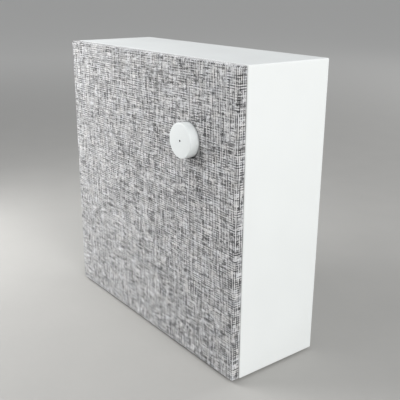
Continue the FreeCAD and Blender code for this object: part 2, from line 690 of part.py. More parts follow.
def add_front_baffle():
    """Moulded plate with stepped driver seats, control bosses, peg holes and sunk screws."""
    body = new_body("front_baffle")
    pad(body, "Plate", [inside(S.rim_wall + S.panel_fit)], CABINET_FRONT, BAFFLE_BACK)
    woofer_recess = S.woofer_flange + S.woofer_fit
    tweeter_recess = S.tweeter_radius + S.woofer_fit
    pad(body, "WooferRing", [circle(0, 0, woofer_recess + S.seat_wall)],
        BAFFLE_BACK, WOOFER_SEAT + S.seat_wall, WOOFER_AXIS)
    pad(body, "TweeterRing", [circle(0, 0, tweeter_recess + S.seat_wall)],
        BAFFLE_BACK, TWEETER_SEAT + S.seat_wall, TWEETER_AXIS)
    bosses = [circle(u, v, S.boss_radius) for u, v in CONTROL_SCREWS]
    pad(body, "ControlBosses", bosses, BAFFLE_BACK, CONTROL_FRONT, KNOB_AXIS)
    pocket(body, "WooferRecess", [circle(0, 0, woofer_recess)],
           CABINET_FRONT, WOOFER_SEAT, WOOFER_AXIS)
    pocket(body, "WooferOpening", [circle(0, 0, WOOFER_OPENING)],
           WOOFER_SEAT, WOOFER_SEAT + S.seat_wall, WOOFER_AXIS)
    pocket(body, "WooferPilots", [circle(u, v, SMALL_PILOT) for u, v in WOOFER_SCREWS],
           WOOFER_SEAT, WOOFER_SEAT + S.seat_wall, WOOFER_AXIS)
    pocket(body, "TweeterRecess", [circle(0, 0, tweeter_recess)],
           CABINET_FRONT, TWEETER_SEAT, TWEETER_AXIS)
    pocket(body, "TweeterOpening", [circle(0, 0, S.cup_radius + S.woofer_fit)],
           TWEETER_SEAT, TWEETER_SEAT + S.seat_wall, TWEETER_AXIS)
    pocket(body, "TweeterPilots", [circle(u, v, SMALL_PILOT) for u, v in TWEETER_SCREWS],
           TWEETER_SEAT, TWEETER_SEAT + S.seat_wall, TWEETER_AXIS)
    pocket(body, "BushHole", [circle(0, 0, S.bush_radius + S.bush_hole_gap)],
           CABINET_FRONT, BAFFLE_BACK, KNOB_AXIS)
    pilots = [circle(u, v, SMALL_PILOT) for u, v in CONTROL_SCREWS]
    pocket(body, "ControlPilots", pilots, CONTROL_BACK - S.small_length - S.pilot_spare,
           CONTROL_FRONT, KNOB_AXIS)
    pocket(body, "CupHoles", [circle(u, v, CUP_OUTSIDE) for u, v in PEGS],
           CABINET_FRONT, BAFFLE_BACK)
    head_seat = CABINET_FRONT + S.screw_head_height
    sinks = [circle(u, v, S.screw_head + S.screw_fit) for u, v in CORNER_SCREWS]
    pocket(body, "ScrewSinks", sinks, CABINET_FRONT, head_seat)
    holes = [circle(u, v, S.screw_shank + S.screw_fit) for u, v in CORNER_SCREWS]
    pocket(body, "ScrewHoles", holes, head_seat, BAFFLE_BACK)
    add_case_screws("baffle_screws", CORNER_SCREWS, head_seat, True)


# Pull-off front

FRAME_HALF_X = HALF_WIDTH - S.cloth_thickness - S.cloth_fit
FRAME_HALF_Z = HALF_HEIGHT - S.cloth_thickness - S.cloth_fit
KNOB_HOLE = S.knob_radius + S.knob_hole_gap
LINED_HOLE = KNOB_HOLE + S.cloth_thickness
LATTICE_BACK = FRAME_FRONT + S.rib_depth


def middle_rectangle(half_x, half_z):
    """A rectangle about the middle of the front."""
    return rectangle(-half_x, MIDDLE - half_z, half_x, MIDDLE + half_z)


def middle_rounded(half_x, half_z, radius):
    """A rounded rectangle about the middle of the front."""
    return rounded_rectangle(-half_x, MIDDLE - half_z, half_x, MIDDLE + half_z, radius)


def on_front_outline(plane, half_x, half_z, corner):
    """A test for the edges of a rounded front face."""
    def chosen(point):
        beyond_x = abs(point.x) > half_x.value - corner.value
        beyond_z = abs(point.z - MIDDLE.value) > half_z.value - corner.value
        return near(point.y, plane) and (beyond_x or beyond_z)
    return chosen


def add_grille_frame():
    """Moulded frame: rim, windowed web, corner gussets with pegs and a collar for the knob."""
    body = new_body("grille_frame")
    rounding = S.grille_edge_radius - S.cloth_thickness - S.cloth_fit
    corner = rounding + S.grille_corner_extra
    span_x = FRAME_HALF_X - S.grille_rim_width
    span_z = FRAME_HALF_Z - S.grille_rim_width
    rim = [middle_rounded(FRAME_HALF_X, FRAME_HALF_Z, corner), middle_rectangle(span_x, span_z)]
    pad(body, "Rim", rim, FRAME_FRONT, FRAME_BACK)
    fillet(body, "RimRounding", rounding,
           on_front_outline(FRAME_FRONT, FRAME_HALF_X, FRAME_HALF_Z, corner))
    pad(body, "Web", [middle_rectangle(span_x, span_z)], FRAME_FRONT, LATTICE_BACK)
    inner = S.gusset_size - S.grille_rim_width
    gussets = [rectangle(u - inner / 2, v - inner / 2, u + inner / 2, v + inner / 2)
               for u, v in four_ways(span_x - inner / 2, span_z - inner / 2)]
    pad(body, "Gussets", gussets, LATTICE_BACK, FRAME_BACK)
    peg_end = FRAME_BACK + S.peg_length
    pad(body, "Pegs", [circle(u, v, S.peg_radius) for u, v in PEGS], FRAME_BACK, peg_end)
    chamfer(body, "PegTips", S.peg_taper, lambda point: near(point.y, peg_end))
    columns = whole(span_x * 2 / S.rib_pitch) + 1
    rows = whole(span_z * 2 / S.rib_pitch) + 1
    column_step = span_x * 2 / columns
    row_step = span_z * 2 / rows
    half_x = (column_step - S.rib_width) / 2
    half_z = (row_step - S.rib_width) / 2
    first = (column_step / 2 - span_x, MIDDLE - span_z + row_step / 2)
    window = pocket(body, "Window", [rectangle(-half_x, -half_z, half_x, half_z)],
                    FRAME_FRONT, LATTICE_BACK, first)
    grid = pattern_along(body, window, "H_Axis", column_step * (columns - 1), columns)
    grid.Direction2 = (window.Profile[0], ["V_Axis"])
    grid.setExpression("Length2", (row_step * (rows - 1)).text)
    grid.setExpression("Occurrences2", rows.text)
    collar = [circle(0, 0, LINED_HOLE + S.collar_width)]
    pad(body, "Collar", collar, FRAME_FRONT, LATTICE_BACK, KNOB_AXIS)
    pocket(body, "KnobHole", [circle(0, 0, LINED_HOLE + S.cloth_fit)],
           FRAME_FRONT, LATTICE_BACK, KNOB_AXIS)


def add_grille_cloth():
    """Cloth drawn over the frame, turned in round the knob hole and hemmed behind the rim."""
    body = new_body("grille_cloth")
    corner = S.grille_edge_radius + S.grille_corner_extra
    outline = middle_rounded(HALF_WIDTH, HALF_HEIGHT, corner)
    pad(body, "Drum", [outline], CLOTH_FRONT, GRILLE_BACK)
    fillet(body, "WrappedEdges", S.grille_edge_radius,
           on_front_outline(CLOTH_FRONT, HALF_WIDTH, HALF_HEIGHT, corner))
    doc.recompute()
    base = body.Tip
    back = [f"Face{k}" for k, face in enumerate(base.Shape.Faces, start=1)
            if near(face.CenterOfMass.y, GRILLE_BACK)]
    skin = body.newObject("PartDesign::Thickness", "Skin")
    skin.Base = (base, back)
    skin.Reversed = True
    skin.setExpression("Value", S.cloth_thickness.text)
    doc.recompute()
    hem = [outline, middle_rectangle(HALF_WIDTH - S.hem_width, HALF_HEIGHT - S.hem_width)]
    pad(body, "Hem", hem, FRAME_BACK, GRILLE_BACK)
    pad(body, "HoleLining", [circle(0, 0, LINED_HOLE)], CLOTH_FRONT, LATTICE_BACK, KNOB_AXIS)
    pocket(body, "KnobHole", [circle(0, 0, KNOB_HOLE)], CLOTH_FRONT, LATTICE_BACK, KNOB_AXIS)
    def on_hole_edge(point):
        from_axis = math.hypot(point.x - KNOB_AXIS[0].value, point.z - KNOB_AXIS[1].value)
        return near(point.y, CLOTH_FRONT) and from_axis < KNOB_HOLE.value
    fillet(body, "HoleEdge", S.cloth_thickness * 0.75, on_hole_edge)


def add_peg_cups():
    """Rubber sleeves in the baffle that grip the pegs of the front."""
    body = new_body("peg_cups")
    flange = CUP_OUTSIDE + S.cup_flange
    pad(body, "Flanges", [circle(u, v, flange) for u, v in PEGS],
        CABINET_FRONT - S.cup_flange_thickness, CABINET_FRONT)
    pad(body, "Sleeves", [circle(u, v, CUP_OUTSIDE) for u, v in PEGS],
        CABINET_FRONT, CABINET_FRONT + S.cup_length)
    pocket(body, "Bores", [circle(u, v, S.peg_radius + S.peg_fit) for u, v in PEGS],
           CABINET_FRONT - S.cup_flange_thickness, CABINET_FRONT + S.cup_length)


# Control knob and encoder

KNOB_BACK = CABINET_FRONT - S.knob_lift
KNOB_FLOOR = KNOB_FRONT + S.knob_face
SHAFT_TIP = KNOB_FLOOR + S.shaft_tip_gap
FLAT_END = KNOB_BACK


def d_profile(radius, flat):
    """A circle cut by a flat on its upper side."""
    half = root(radius * radius - flat * flat)
    return [(half, flat), (-half, flat, radius, LEFT), (ZERO, -radius, radius, LEFT)]


def add_knob():
    """Hollow turned-look cap with a keyed hub and a pinhole for the indicator."""
    body = new_body("knob")
    rim = S.knob_edge_radius
    inner = S.knob_radius - S.knob_wall
    profile = [
        (ZERO, KNOB_FRONT), (S.knob_radius - rim, KNOB_FRONT, rim, LEFT),
        (S.knob_radius, KNOB_FRONT + rim), (S.knob_radius, KNOB_BACK),
        (inner, KNOB_BACK), (inner, KNOB_FLOOR), (S.knob_hub, KNOB_FLOOR),
        (S.knob_hub, KNOB_BACK), (ZERO, KNOB_BACK),
    ]
    revolve(body, "Cap", [profile], KNOB_AXIS)
    keyed = d_profile(S.shaft_radius + S.shaft_fit, S.shaft_flat + S.shaft_fit)
    pocket(body, "Key", [keyed], KNOB_FLOOR, KNOB_BACK, KNOB_AXIS)
    pocket(body, "Pinhole", [circle(0, 0, S.light_tip + S.light_fit)],
           KNOB_FRONT, KNOB_FLOOR, KNOB_AXIS)


def add_light_pipe():
    """Stepped rod that carries the indicator light from the board to the knob face."""
    body = new_body("light_pipe")
    pad(body, "Rod", [circle(0, 0, S.light_rod)], KNOB_FLOOR, ROTOR_BACK, KNOB_AXIS)
    pad(body, "Tip", [circle(0, 0, S.light_tip)], KNOB_FRONT + S.light_fit, KNOB_FLOOR, KNOB_AXIS)


def add_encoder_shaft():
    """Hollow shaft with a flat for the knob and a rotor flange inside the encoder."""
    body = new_body("encoder_shaft")
    pad(body, "Stem", [circle(0, 0, S.shaft_radius)], SHAFT_TIP, ROTOR_FRONT, KNOB_AXIS)
    pad(body, "Rotor", [circle(0, 0, S.rotor_radius)], ROTOR_FRONT, ROTOR_BACK, KNOB_AXIS)
    beyond = S.shaft_radius * 2
    flat = rectangle(-beyond, S.shaft_flat, beyond, beyond)
    pocket(body, "Flat", [flat], SHAFT_TIP, FLAT_END, KNOB_AXIS)
    pocket(body, "Bore", [circle(0, 0, S.shaft_bore)], SHAFT_TIP, ROTOR_BACK, KNOB_AXIS)


def add_encoder():
    """Encoder case with its bush, rear cover, press plunger, board, lamp and screws."""
    half = S.encoder_size / 2
    square = rectangle(-half, -half, half, half)
    case = new_body("encoder_case")
    pad(case, "Bush", [circle(0, 0, S.bush_radius)],
        ENCODER_FRONT - S.bush_length, ENCODER_FRONT, KNOB_AXIS)
    pad(case, "Case", [square], ENCODER_FRONT, ENCODER_BACK, KNOB_AXIS)
    pocket(case, "Cavity", [circle(0, 0, S.encoder_cavity)],
           ENCODER_FRONT + S.encoder_wall, ENCODER_BACK, KNOB_AXIS)
    pocket(case, "ShaftHole", [circle(0, 0, S.shaft_radius + S.shaft_fit)],
           ENCODER_FRONT - S.bush_length, ENCODER_FRONT + S.encoder_wall, KNOB_AXIS)
    plunger = new_body("switch_plunger")
    light_way = circle(0, 0, S.led_radius + S.screw_fit)
    pad(plunger, "Disc", [circle(0, 0, S.plunger_radius), light_way],
        PLUNGER_FRONT, PLUNGER_BACK, KNOB_AXIS)
    base = new_body("encoder_base")
    pad(base, "Cover", [square, light_way], ENCODER_BACK, CONTROL_FRONT, KNOB_AXIS)
    board = new_body("control_board")
    half_x = S.control_board_width / 2
    half_z = S.control_board_height / 2
    holes = [circle(u, v, SMALL_HOLE) for u, v in CONTROL_SCREWS]
    pad(board, "Sheet", [rectangle(-half_x, -half_z, half_x, half_z)] + holes,
        CONTROL_FRONT, CONTROL_BACK, KNOB_AXIS)
    lamp = new_body("indicator_led")
    pad(lamp, "Lamp", [circle(0, 0, S.led_radius)],
        CONTROL_FRONT - S.led_height, CONTROL_FRONT, KNOB_AXIS)
    add_small_screws("control_screws", around(KNOB_AXIS, CONTROL_SCREWS), CONTROL_BACK, False)


# Woofer

def woofer_y(depth):
    """A plane behind the woofer's trim face."""
    return WOOFER_FRONT + depth


COIL_OUTSIDE = S.coil_radius + S.winding_thickness
LEDGE = woofer_y(S.ledge_depth)
BASKET_FLOOR = woofer_y(S.basket_depth)
TOP_PLATE_FRONT = BASKET_FLOOR + S.basket_sheet
MAGNET_FRONT = TOP_PLATE_FRONT + S.plate_thickness
YOKE_FRONT = MAGNET_FRONT + S.magnet_height
CONE_NECK = woofer_y(S.cone_neck_depth)
ROLL_INSIDE = S.roll_radius - S.surround_thickness
TERMINAL_INNER = S.basket_waist + S.basket_sheet + S.terminal_clear
TERMINAL_OUTER = S.basket_ledge + S.basket_sheet - S.terminal_clear
TERMINAL_BACK = TOP_PLATE_FRONT - S.terminal_clear


def ring(body, name, inner, outer, y_from, y_to, axis):
    """A flat ring about an axis."""
    return pad(body, name, [circle(0, 0, outer), circle(0, 0, inner)], y_from, y_to, axis)


def add_woofer_basket():
    """Pressed steel basket: flange, windowed cone, spider ledge and floor, with its terminal strip."""
    body = new_body("woofer_basket")
    sheet = S.basket_sheet
    profile = [
        (S.basket_mouth, FLANGE_FRONT), (S.woofer_flange, FLANGE_FRONT),
        (S.woofer_flange, WOOFER_SEAT), (S.basket_mouth + sheet, WOOFER_SEAT),
        (S.basket_ledge + sheet, LEDGE + sheet), (S.basket_waist + sheet, LEDGE + sheet),
        (S.basket_waist + sheet, TOP_PLATE_FRONT), (S.basket_throat, TOP_PLATE_FRONT),
        (S.basket_throat, BASKET_FLOOR), (S.basket_waist, BASKET_FLOOR),
        (S.basket_waist, LEDGE), (S.basket_ledge, LEDGE),
    ]
    revolve(body, "Pressing", [profile], WOOFER_AXIS)
    low = S.basket_ledge + sheet
    high = S.basket_mouth - sheet
    narrow = S.basket_window * low / high
    window = [(-narrow, low), (narrow, low), (S.basket_window, high), (-S.basket_window, high)]
    cut = pocket(body, "Window", [window], WOOFER_SEAT, LEDGE, WOOFER_AXIS)
    pattern_round(body, cut, 6)
    pocket(body, "ScrewHoles", [circle(u, v, SMALL_HOLE) for u, v in WOOFER_SCREWS],
           FLANGE_FRONT, WOOFER_SEAT, WOOFER_AXIS)
    add_small_screws("woofer_screws", around(WOOFER_AXIS, WOOFER_SCREWS), FLANGE_FRONT, True)
    strip = new_body("woofer_terminal")
    half = S.terminal_width / 2
    pad(strip, "Strip", [rectangle(-TERMINAL_OUTER, -half, -TERMINAL_INNER, half)],
        LEDGE + sheet, TERMINAL_BACK, WOOFER_AXIS)


def add_woofer_soft_parts():
    """Trim ring, rubber surround and woven spider."""
    trim = new_body("woofer_trim")
    ring(trim, "Trim", S.surround_outer + S.glue_gap, S.trim_outer,
         WOOFER_FRONT, FLANGE_FRONT, WOOFER_AXIS)
    surround = new_body("woofer_surround")
    land = FLANGE_FRONT - S.surround_thickness
    shoulder = root(S.roll_radius * S.roll_radius - S.surround_thickness * S.surround_thickness)
    middle = S.roll_middle
    profile = [
        (S.surround_outer, FLANGE_FRONT), (S.surround_outer, land),
        (middle + shoulder, land, S.roll_radius, RIGHT),
        (middle, FLANGE_FRONT - S.roll_radius, S.roll_radius, RIGHT),
        (middle - shoulder, land), (S.cone_land, land), (S.cone_land, FLANGE_FRONT),
        (middle - ROLL_INSIDE, FLANGE_FRONT, ROLL_INSIDE, LEFT),
        (middle, FLANGE_FRONT - ROLL_INSIDE, ROLL_INSIDE, LEFT),
        (middle + ROLL_INSIDE, FLANGE_FRONT),
    ]
    revolve(surround, "Roll", [profile], WOOFER_AXIS)
    spider = new_body("woofer_spider")
    crest = LEDGE - S.spider_thickness - S.spider_wave
    trough = LEDGE - S.spider_thickness
    inner = S.coil_radius + S.glue_gap
    waves = 6
    step = (S.basket_waist - inner) / (waves + 1)
    front = [(S.basket_ledge - S.glue_gap, trough)]
    front += [(S.basket_waist - step * k, crest if k % 2 else trough) for k in range(waves + 1)]
    front += [(inner, trough)]
    back = [(u, v + S.spider_thickness) for u, v in reversed(front)]
    revolve(spider, "Waves", [front + back], WOOFER_AXIS)


def add_woofer_moving_parts():
    """Paper cone, dust cap and voice coil, which travel together."""
    cone = new_body("woofer_cone")
    edge = S.roll_middle - ROLL_INSIDE - S.glue_gap
    front = [(edge, FLANGE_FRONT), (S.cone_land, FLANGE_FRONT), (S.coil_radius, CONE_NECK)]
    back = [(u, v + S.cone_thickness) for u, v in reversed(front)]
    revolve(cone, "Paper", [front + back], WOOFER_AXIS)
    cap = new_body("woofer_dust_cap")
    slope = (S.cone_land - S.dust_cap_radius) / (S.cone_land - S.coil_radius)
    foot = FLANGE_FRONT + (CONE_NECK - FLANGE_FRONT) * slope - S.glue_gap
    thick = S.dust_cap_thickness
    top = foot - S.dust_cap_rise
    inner = S.dust_cap_radius - thick
    profile = [
        (ZERO, top, arc_radius(S.dust_cap_radius, S.dust_cap_rise), LEFT),
        (S.dust_cap_radius, foot),
        (inner, foot, arc_radius(inner, S.dust_cap_rise - thick), RIGHT),
        (ZERO, top + thick),
    ]
    revolve(cap, "Dome", [profile], WOOFER_AXIS)
    coil = new_body("woofer_coil")
    bore = S.coil_radius - S.former_thickness
    end = woofer_y(S.coil_end)
    winding = woofer_y(S.winding_start)
    profile = [
        (bore, woofer_y(S.former_start)), (S.coil_radius, woofer_y(S.former_start)),
        (S.coil_radius, winding), (COIL_OUTSIDE, winding), (COIL_OUTSIDE, end), (bore, end),
    ]
    revolve(coil, "Former", [profile], WOOFER_AXIS)


def add_woofer_motor():
    """Top plate, ring magnet, and yoke with its pole."""
    top_plate = new_body("woofer_top_plate")
    ring(top_plate, "Plate", COIL_OUTSIDE + S.coil_gap, S.plate_radius,
         TOP_PLATE_FRONT, MAGNET_FRONT, WOOFER_AXIS)
    magnet = new_body("woofer_magnet")
    ring(magnet, "Ferrite", S.magnet_bore, S.magnet_radius, MAGNET_FRONT, YOKE_FRONT, WOOFER_AXIS)
    yoke = new_body("woofer_yoke")
    pole = S.coil_radius - S.former_thickness - S.coil_gap
    pad(yoke, "Pole", [circle(0, 0, pole)], TOP_PLATE_FRONT, YOKE_FRONT, WOOFER_AXIS)
    pad(yoke, "Back", [circle(0, 0, S.plate_radius)],
        YOKE_FRONT, YOKE_FRONT + S.plate_thickness, WOOFER_AXIS)


# Tweeter

TWEETER_POLE = TWEETER_SEAT + S.dome_film + S.cup_clear
TWEETER_MAGNET = TWEETER_POLE + S.tweeter_pole_thickness
TWEETER_FLOOR = TWEETER_MAGNET + S.tweeter_magnet_height
TWEETER_BACK = TWEETER_FLOOR + S.cup_floor


def add_tweeter():
    """Dome tweeter: flared plate, pressed film, coil, pole, magnet, cup and screws."""
    seat = TWEETER_SEAT
    plate = new_body("tweeter_plate")
    throat = S.tweeter_throat
    lip = seat - S.tweeter_lip
    flare_depth = S.tweeter_plate_thickness - S.tweeter_lip
    chord = root(S.tweeter_flare * S.tweeter_flare + flare_depth * flare_depth)
    profile = [
        (S.tweeter_radius, TWEETER_FRONT), (S.tweeter_radius, seat), (throat, seat),
        (throat, lip, chord * 2, LEFT), (throat + S.tweeter_flare, TWEETER_FRONT),
    ]
    revolve(plate, "Flare", [profile], TWEETER_AXIS)
    sink = TWEETER_FRONT + S.small_head_height
    pocket(plate, "Sinks", [circle(u, v, S.small_head + S.screw_fit) for u, v in TWEETER_SCREWS],
           TWEETER_FRONT, sink, TWEETER_AXIS)
    pocket(plate, "Holes", [circle(u, v, SMALL_HOLE) for u, v in TWEETER_SCREWS],
           sink, seat, TWEETER_AXIS)
    add_small_screws("tweeter_screws", around(TWEETER_AXIS, TWEETER_SCREWS), sink, True)
    film = new_body("tweeter_dome")
    inner = S.dome_radius
    outer = inner + S.dome_roll
    edge = outer + S.dome_land
    bow = arc_radius(inner, S.dome_rise)
    roll = arc_radius(S.dome_roll / 2, S.dome_roll_rise)
    back = seat + S.dome_film
    profile = [
        (edge, back), (edge, seat), (outer, seat, roll, RIGHT), (inner, seat, bow, RIGHT),
        (ZERO, seat - S.dome_rise), (ZERO, back - S.dome_rise, bow, LEFT),
        (inner, back, roll, LEFT), (outer, back),
    ]
    revolve(film, "Film", [profile], TWEETER_AXIS)
    coil = new_body("tweeter_coil")
    ring(coil, "Winding", inner - S.dome_film, inner, back, back + S.tweeter_coil_length,
         TWEETER_AXIS)
    pole = new_body("tweeter_pole")
    pad(pole, "Plate", [circle(0, 0, S.tweeter_pole_radius)],
        TWEETER_POLE, TWEETER_MAGNET, TWEETER_AXIS)
    magnet = new_body("tweeter_magnet")
    pad(magnet, "Disc", [circle(0, 0, S.tweeter_pole_radius - S.dome_film)],
        TWEETER_MAGNET, TWEETER_FLOOR, TWEETER_AXIS)
    cup = new_body("tweeter_cup")
    well = S.cup_radius - S.cup_side
    profile = [
        (ZERO, TWEETER_FLOOR), (well, TWEETER_FLOOR), (well, back), (S.cup_radius, back),
        (S.cup_radius, TWEETER_BACK), (ZERO, TWEETER_BACK),
    ]
    revolve(cup, "Cup", [profile], TWEETER_AXIS)


# Rear panel, port and connectors

TRAY_SCREWS = [((TRAY_HALF_X + S.tray_flange / 2) * side, ZERO) for side in (-1, 1)]
CIRCUIT_AXES = [(-CIRCUIT_X, CIRCUIT_Z), (CIRCUIT_X, CIRCUIT_Z)]
CIRCUIT_SCREW_X = S.circuit_width / 2 - S.circuit_screw_inset
CIRCUIT_SCREW_Z = S.circuit_height / 2 - S.circuit_screw_inset
CIRCUIT_SCREWS = [point for axis in CIRCUIT_AXES
                  for point in four_ways(CIRCUIT_SCREW_X, CIRCUIT_SCREW_Z, axis)]
INLET_FRONT = TRAY_FLOOR_BACK - S.inlet_length
TAG_END = INLET_FRONT - S.inlet_tag


def tray_outline(extra_x, extra_z, corner):
    """A rounded rectangle about the connector tray, larger than its walls by some amounts."""
    half_x = TRAY_HALF_X + extra_x
    half_z = TRAY_HALF_Z + extra_z
    return rounded_rectangle(-half_x, -half_z, half_x, half_z, corner)


def add_rear_panel():
    """Moulded panel with the port hole, tray cut-out, board bosses and screw holes."""
    body = new_body("rear_panel")
    pad(body, "Plate", [inside(S.rim_wall + S.panel_fit)], PANEL_FRONT, PANEL_BACK)
    pad(body, "Bosses", [circle(u, v, S.boss_radius) for u, v in CIRCUIT_SCREWS],
        CIRCUIT_BACK, PANEL_FRONT)
    port_hole = S.port_radius + S.port_wall + S.port_fit
    pocket(body, "PortHole", [circle(0, 0, port_hole)], PANEL_FRONT, PANEL_BACK, PORT_AXIS)
    pocket(body, "TrayCut", [tray_outline(S.tray_fit, S.tray_fit, S.tray_corner)],
           PANEL_FRONT, PANEL_BACK, TRAY_AXIS)
    pocket(body, "TrayPilots", [circle(u, v, SMALL_PILOT) for u, v in TRAY_SCREWS],
           PANEL_FRONT, PANEL_BACK, TRAY_AXIS)
    pocket(body, "CornerHoles",
           [circle(u, v, S.screw_shank + S.screw_fit) for u, v in CORNER_SCREWS],
           PANEL_FRONT, PANEL_BACK)
    bite = S.small_length - S.board_thickness + S.pilot_spare
    pocket(body, "BoardPilots", [circle(u, v, SMALL_PILOT) for u, v in CIRCUIT_SCREWS],
           CIRCUIT_BACK, CIRCUIT_BACK + bite)
    add_case_screws("rear_screws", CORNER_SCREWS, PANEL_BACK, False)
    add_small_screws("board_screws", CIRCUIT_SCREWS, CIRCUIT_FRONT, True)


def add_port_tube():
    """Bass port with a flanged, rounded mouth."""
    body = new_body("port_tube")
    mouth = PANEL_BACK + S.port_flange_thickness
    outer = S.port_radius + S.port_wall
    flare = S.port_flare
    profile = [
        (S.port_radius, PANEL_BACK - S.port_length), (outer, PANEL_BACK - S.port_length),
        (outer, PANEL_BACK), (outer + S.port_flange, PANEL_BACK),
        (outer + S.port_flange, mouth), (S.port_radius + flare, mouth, flare, LEFT),
        (S.port_radius, mouth - flare),
    ]
    revolve(body, "Tube", [profile], PORT_AXIS)


def add_connector_tray():
    """Recessed tray behind the panel's cut-out, with holes for the inlet and the jack."""
    body = new_body("connector_tray")
    flange_back = PANEL_BACK + S.tray_flange_thickness
    pad(body, "Flange", [tray_outline(S.tray_flange, S.tray_flange_edge, S.tray_corner)],
        PANEL_BACK, flange_back, TRAY_AXIS)
    pad(body, "Walls", [tray_outline(ZERO, ZERO, S.tray_corner)],
        TRAY_FLOOR_FRONT, PANEL_BACK, TRAY_AXIS)
    corner = S.tray_corner - S.tray_wall
    pocket(body, "Hollow", [tray_outline(-S.tray_wall, -S.tray_wall, corner)],
           TRAY_FLOOR_BACK, flange_back, TRAY_AXIS)
    half_x = S.inlet_width / 2 + S.jack_fit
    half_z = S.inlet_height / 2 + S.jack_fit
    inlet_hole = rectangle(-half_x, -half_z, half_x, half_z)
    pocket(body, "InletHole", [inlet_hole], TRAY_FLOOR_FRONT, TRAY_FLOOR_BACK, INLET_AXIS)
    pocket(body, "JackHole", [circle(0, 0, S.jack_nose + S.jack_fit)],
           TRAY_FLOOR_FRONT, TRAY_FLOOR_BACK, JACK_AXIS)
    head_seat = flange_back - S.small_head_height
    pocket(body, "ScrewSinks", [circle(u, v, S.small_head + S.screw_fit) for u, v in TRAY_SCREWS],
           head_seat, flange_back, TRAY_AXIS)
    pocket(body, "ScrewHoles", [circle(u, v, SMALL_HOLE) for u, v in TRAY_SCREWS],
           PANEL_BACK, head_seat, TRAY_AXIS)
    add_small_screws("tray_screws", around(TRAY_AXIS, TRAY_SCREWS), head_seat, False)


def add_mains_inlet():
    """Two-pin inlet: flanged body with a two-lobed cavity, and its pins."""
    body = new_body("mains_inlet")
    half_x = S.inlet_width / 2
    half_z = S.inlet_height / 2
    flange_x = half_x + S.inlet_flange
    flange_z = half_z + S.inlet_flange
    back = TRAY_FLOOR_BACK + S.inlet_flange_thickness
    pad(body, "Body", [rectangle(-half_x, -half_z, half_x, half_z)],
        INLET_FRONT, TRAY_FLOOR_BACK, INLET_AXIS)
    pad(body, "Flange", [rounded_rectangle(-flange_x, -flange_z, flange_x, flange_z, S.inlet_flange)],
        TRAY_FLOOR_BACK, back, INLET_AXIS)
    lobe = S.inlet_lobe
    offset = S.inlet_pin_spacing / 2
    pins = [(offset * side, ZERO) for side in (-1, 1)]
    floor = INLET_FRONT + S.inlet_floor
    pocket(body, "RightLobe", [circle(offset, 0, lobe)], floor, back, INLET_AXIS)
    pocket(body, "LeftLobe", [circle(-offset, 0, lobe)], floor, back, INLET_AXIS)
    waist = S.inlet_waist
    pocket(body, "Waist", [rectangle(-offset, -waist, offset, waist)], floor, back, INLET_AXIS)
    pocket(body, "PinHoles", [circle(u, v, S.inlet_pin + S.pin_fit) for u, v in pins],
           INLET_FRONT, floor, INLET_AXIS)
    metal = new_body("inlet_pins")
    pad(metal, "Pins", [circle(u, v, S.inlet_pin) for u, v in pins],
        TAG_END, back - S.inlet_pin_setback, INLET_AXIS)


def add_aux_jack():
    """Audio jack: square body on the tray floor's inside, with a round nose through it."""
    body = new_body("aux_jack")
    half = S.jack_size / 2
    front = TRAY_FLOOR_FRONT - S.jack_length
    nose_back = TRAY_FLOOR_BACK + S.jack_nose_proud
    pad(body, "Body", [rectangle(-half, -half, half, half)], front, TRAY_FLOOR_FRONT, JACK_AXIS)
    pad(body, "Nose", [circle(0, 0, S.jack_nose)], TRAY_FLOOR_FRONT, nose_back, JACK_AXIS)
    pocket(body, "Bore", [circle(0, 0, S.jack_bore)], front + S.jack_end, nose_back, JACK_AXIS)


# Electronics

def add_circuit_board(label, axis):
    """A board on its four bosses."""
    body = new_body(label)
    half_x = S.circuit_width / 2
    half_z = S.circuit_height / 2
    points = four_ways(CIRCUIT_SCREW_X, CIRCUIT_SCREW_Z, (ZERO, ZERO))
    holes = [circle(u, v, SMALL_HOLE) for u, v in points]
    pad(body, label + "_sheet", [rectangle(-half_x, -half_z, half_x, half_z)] + holes,
        CIRCUIT_FRONT, CIRCUIT_BACK, axis)


def add_can(label, centres, radius, height):
    """Capacitor cans that stand on a board."""
    body = new_body(label)
    front = CIRCUIT_FRONT - height
    pad(body, label + "_cans", [circle(u, v, radius) for u, v in centres], front, CIRCUIT_FRONT)
    fillet(body, label + "_ends", S.can_rounding, lambda point: near(point.y, front))


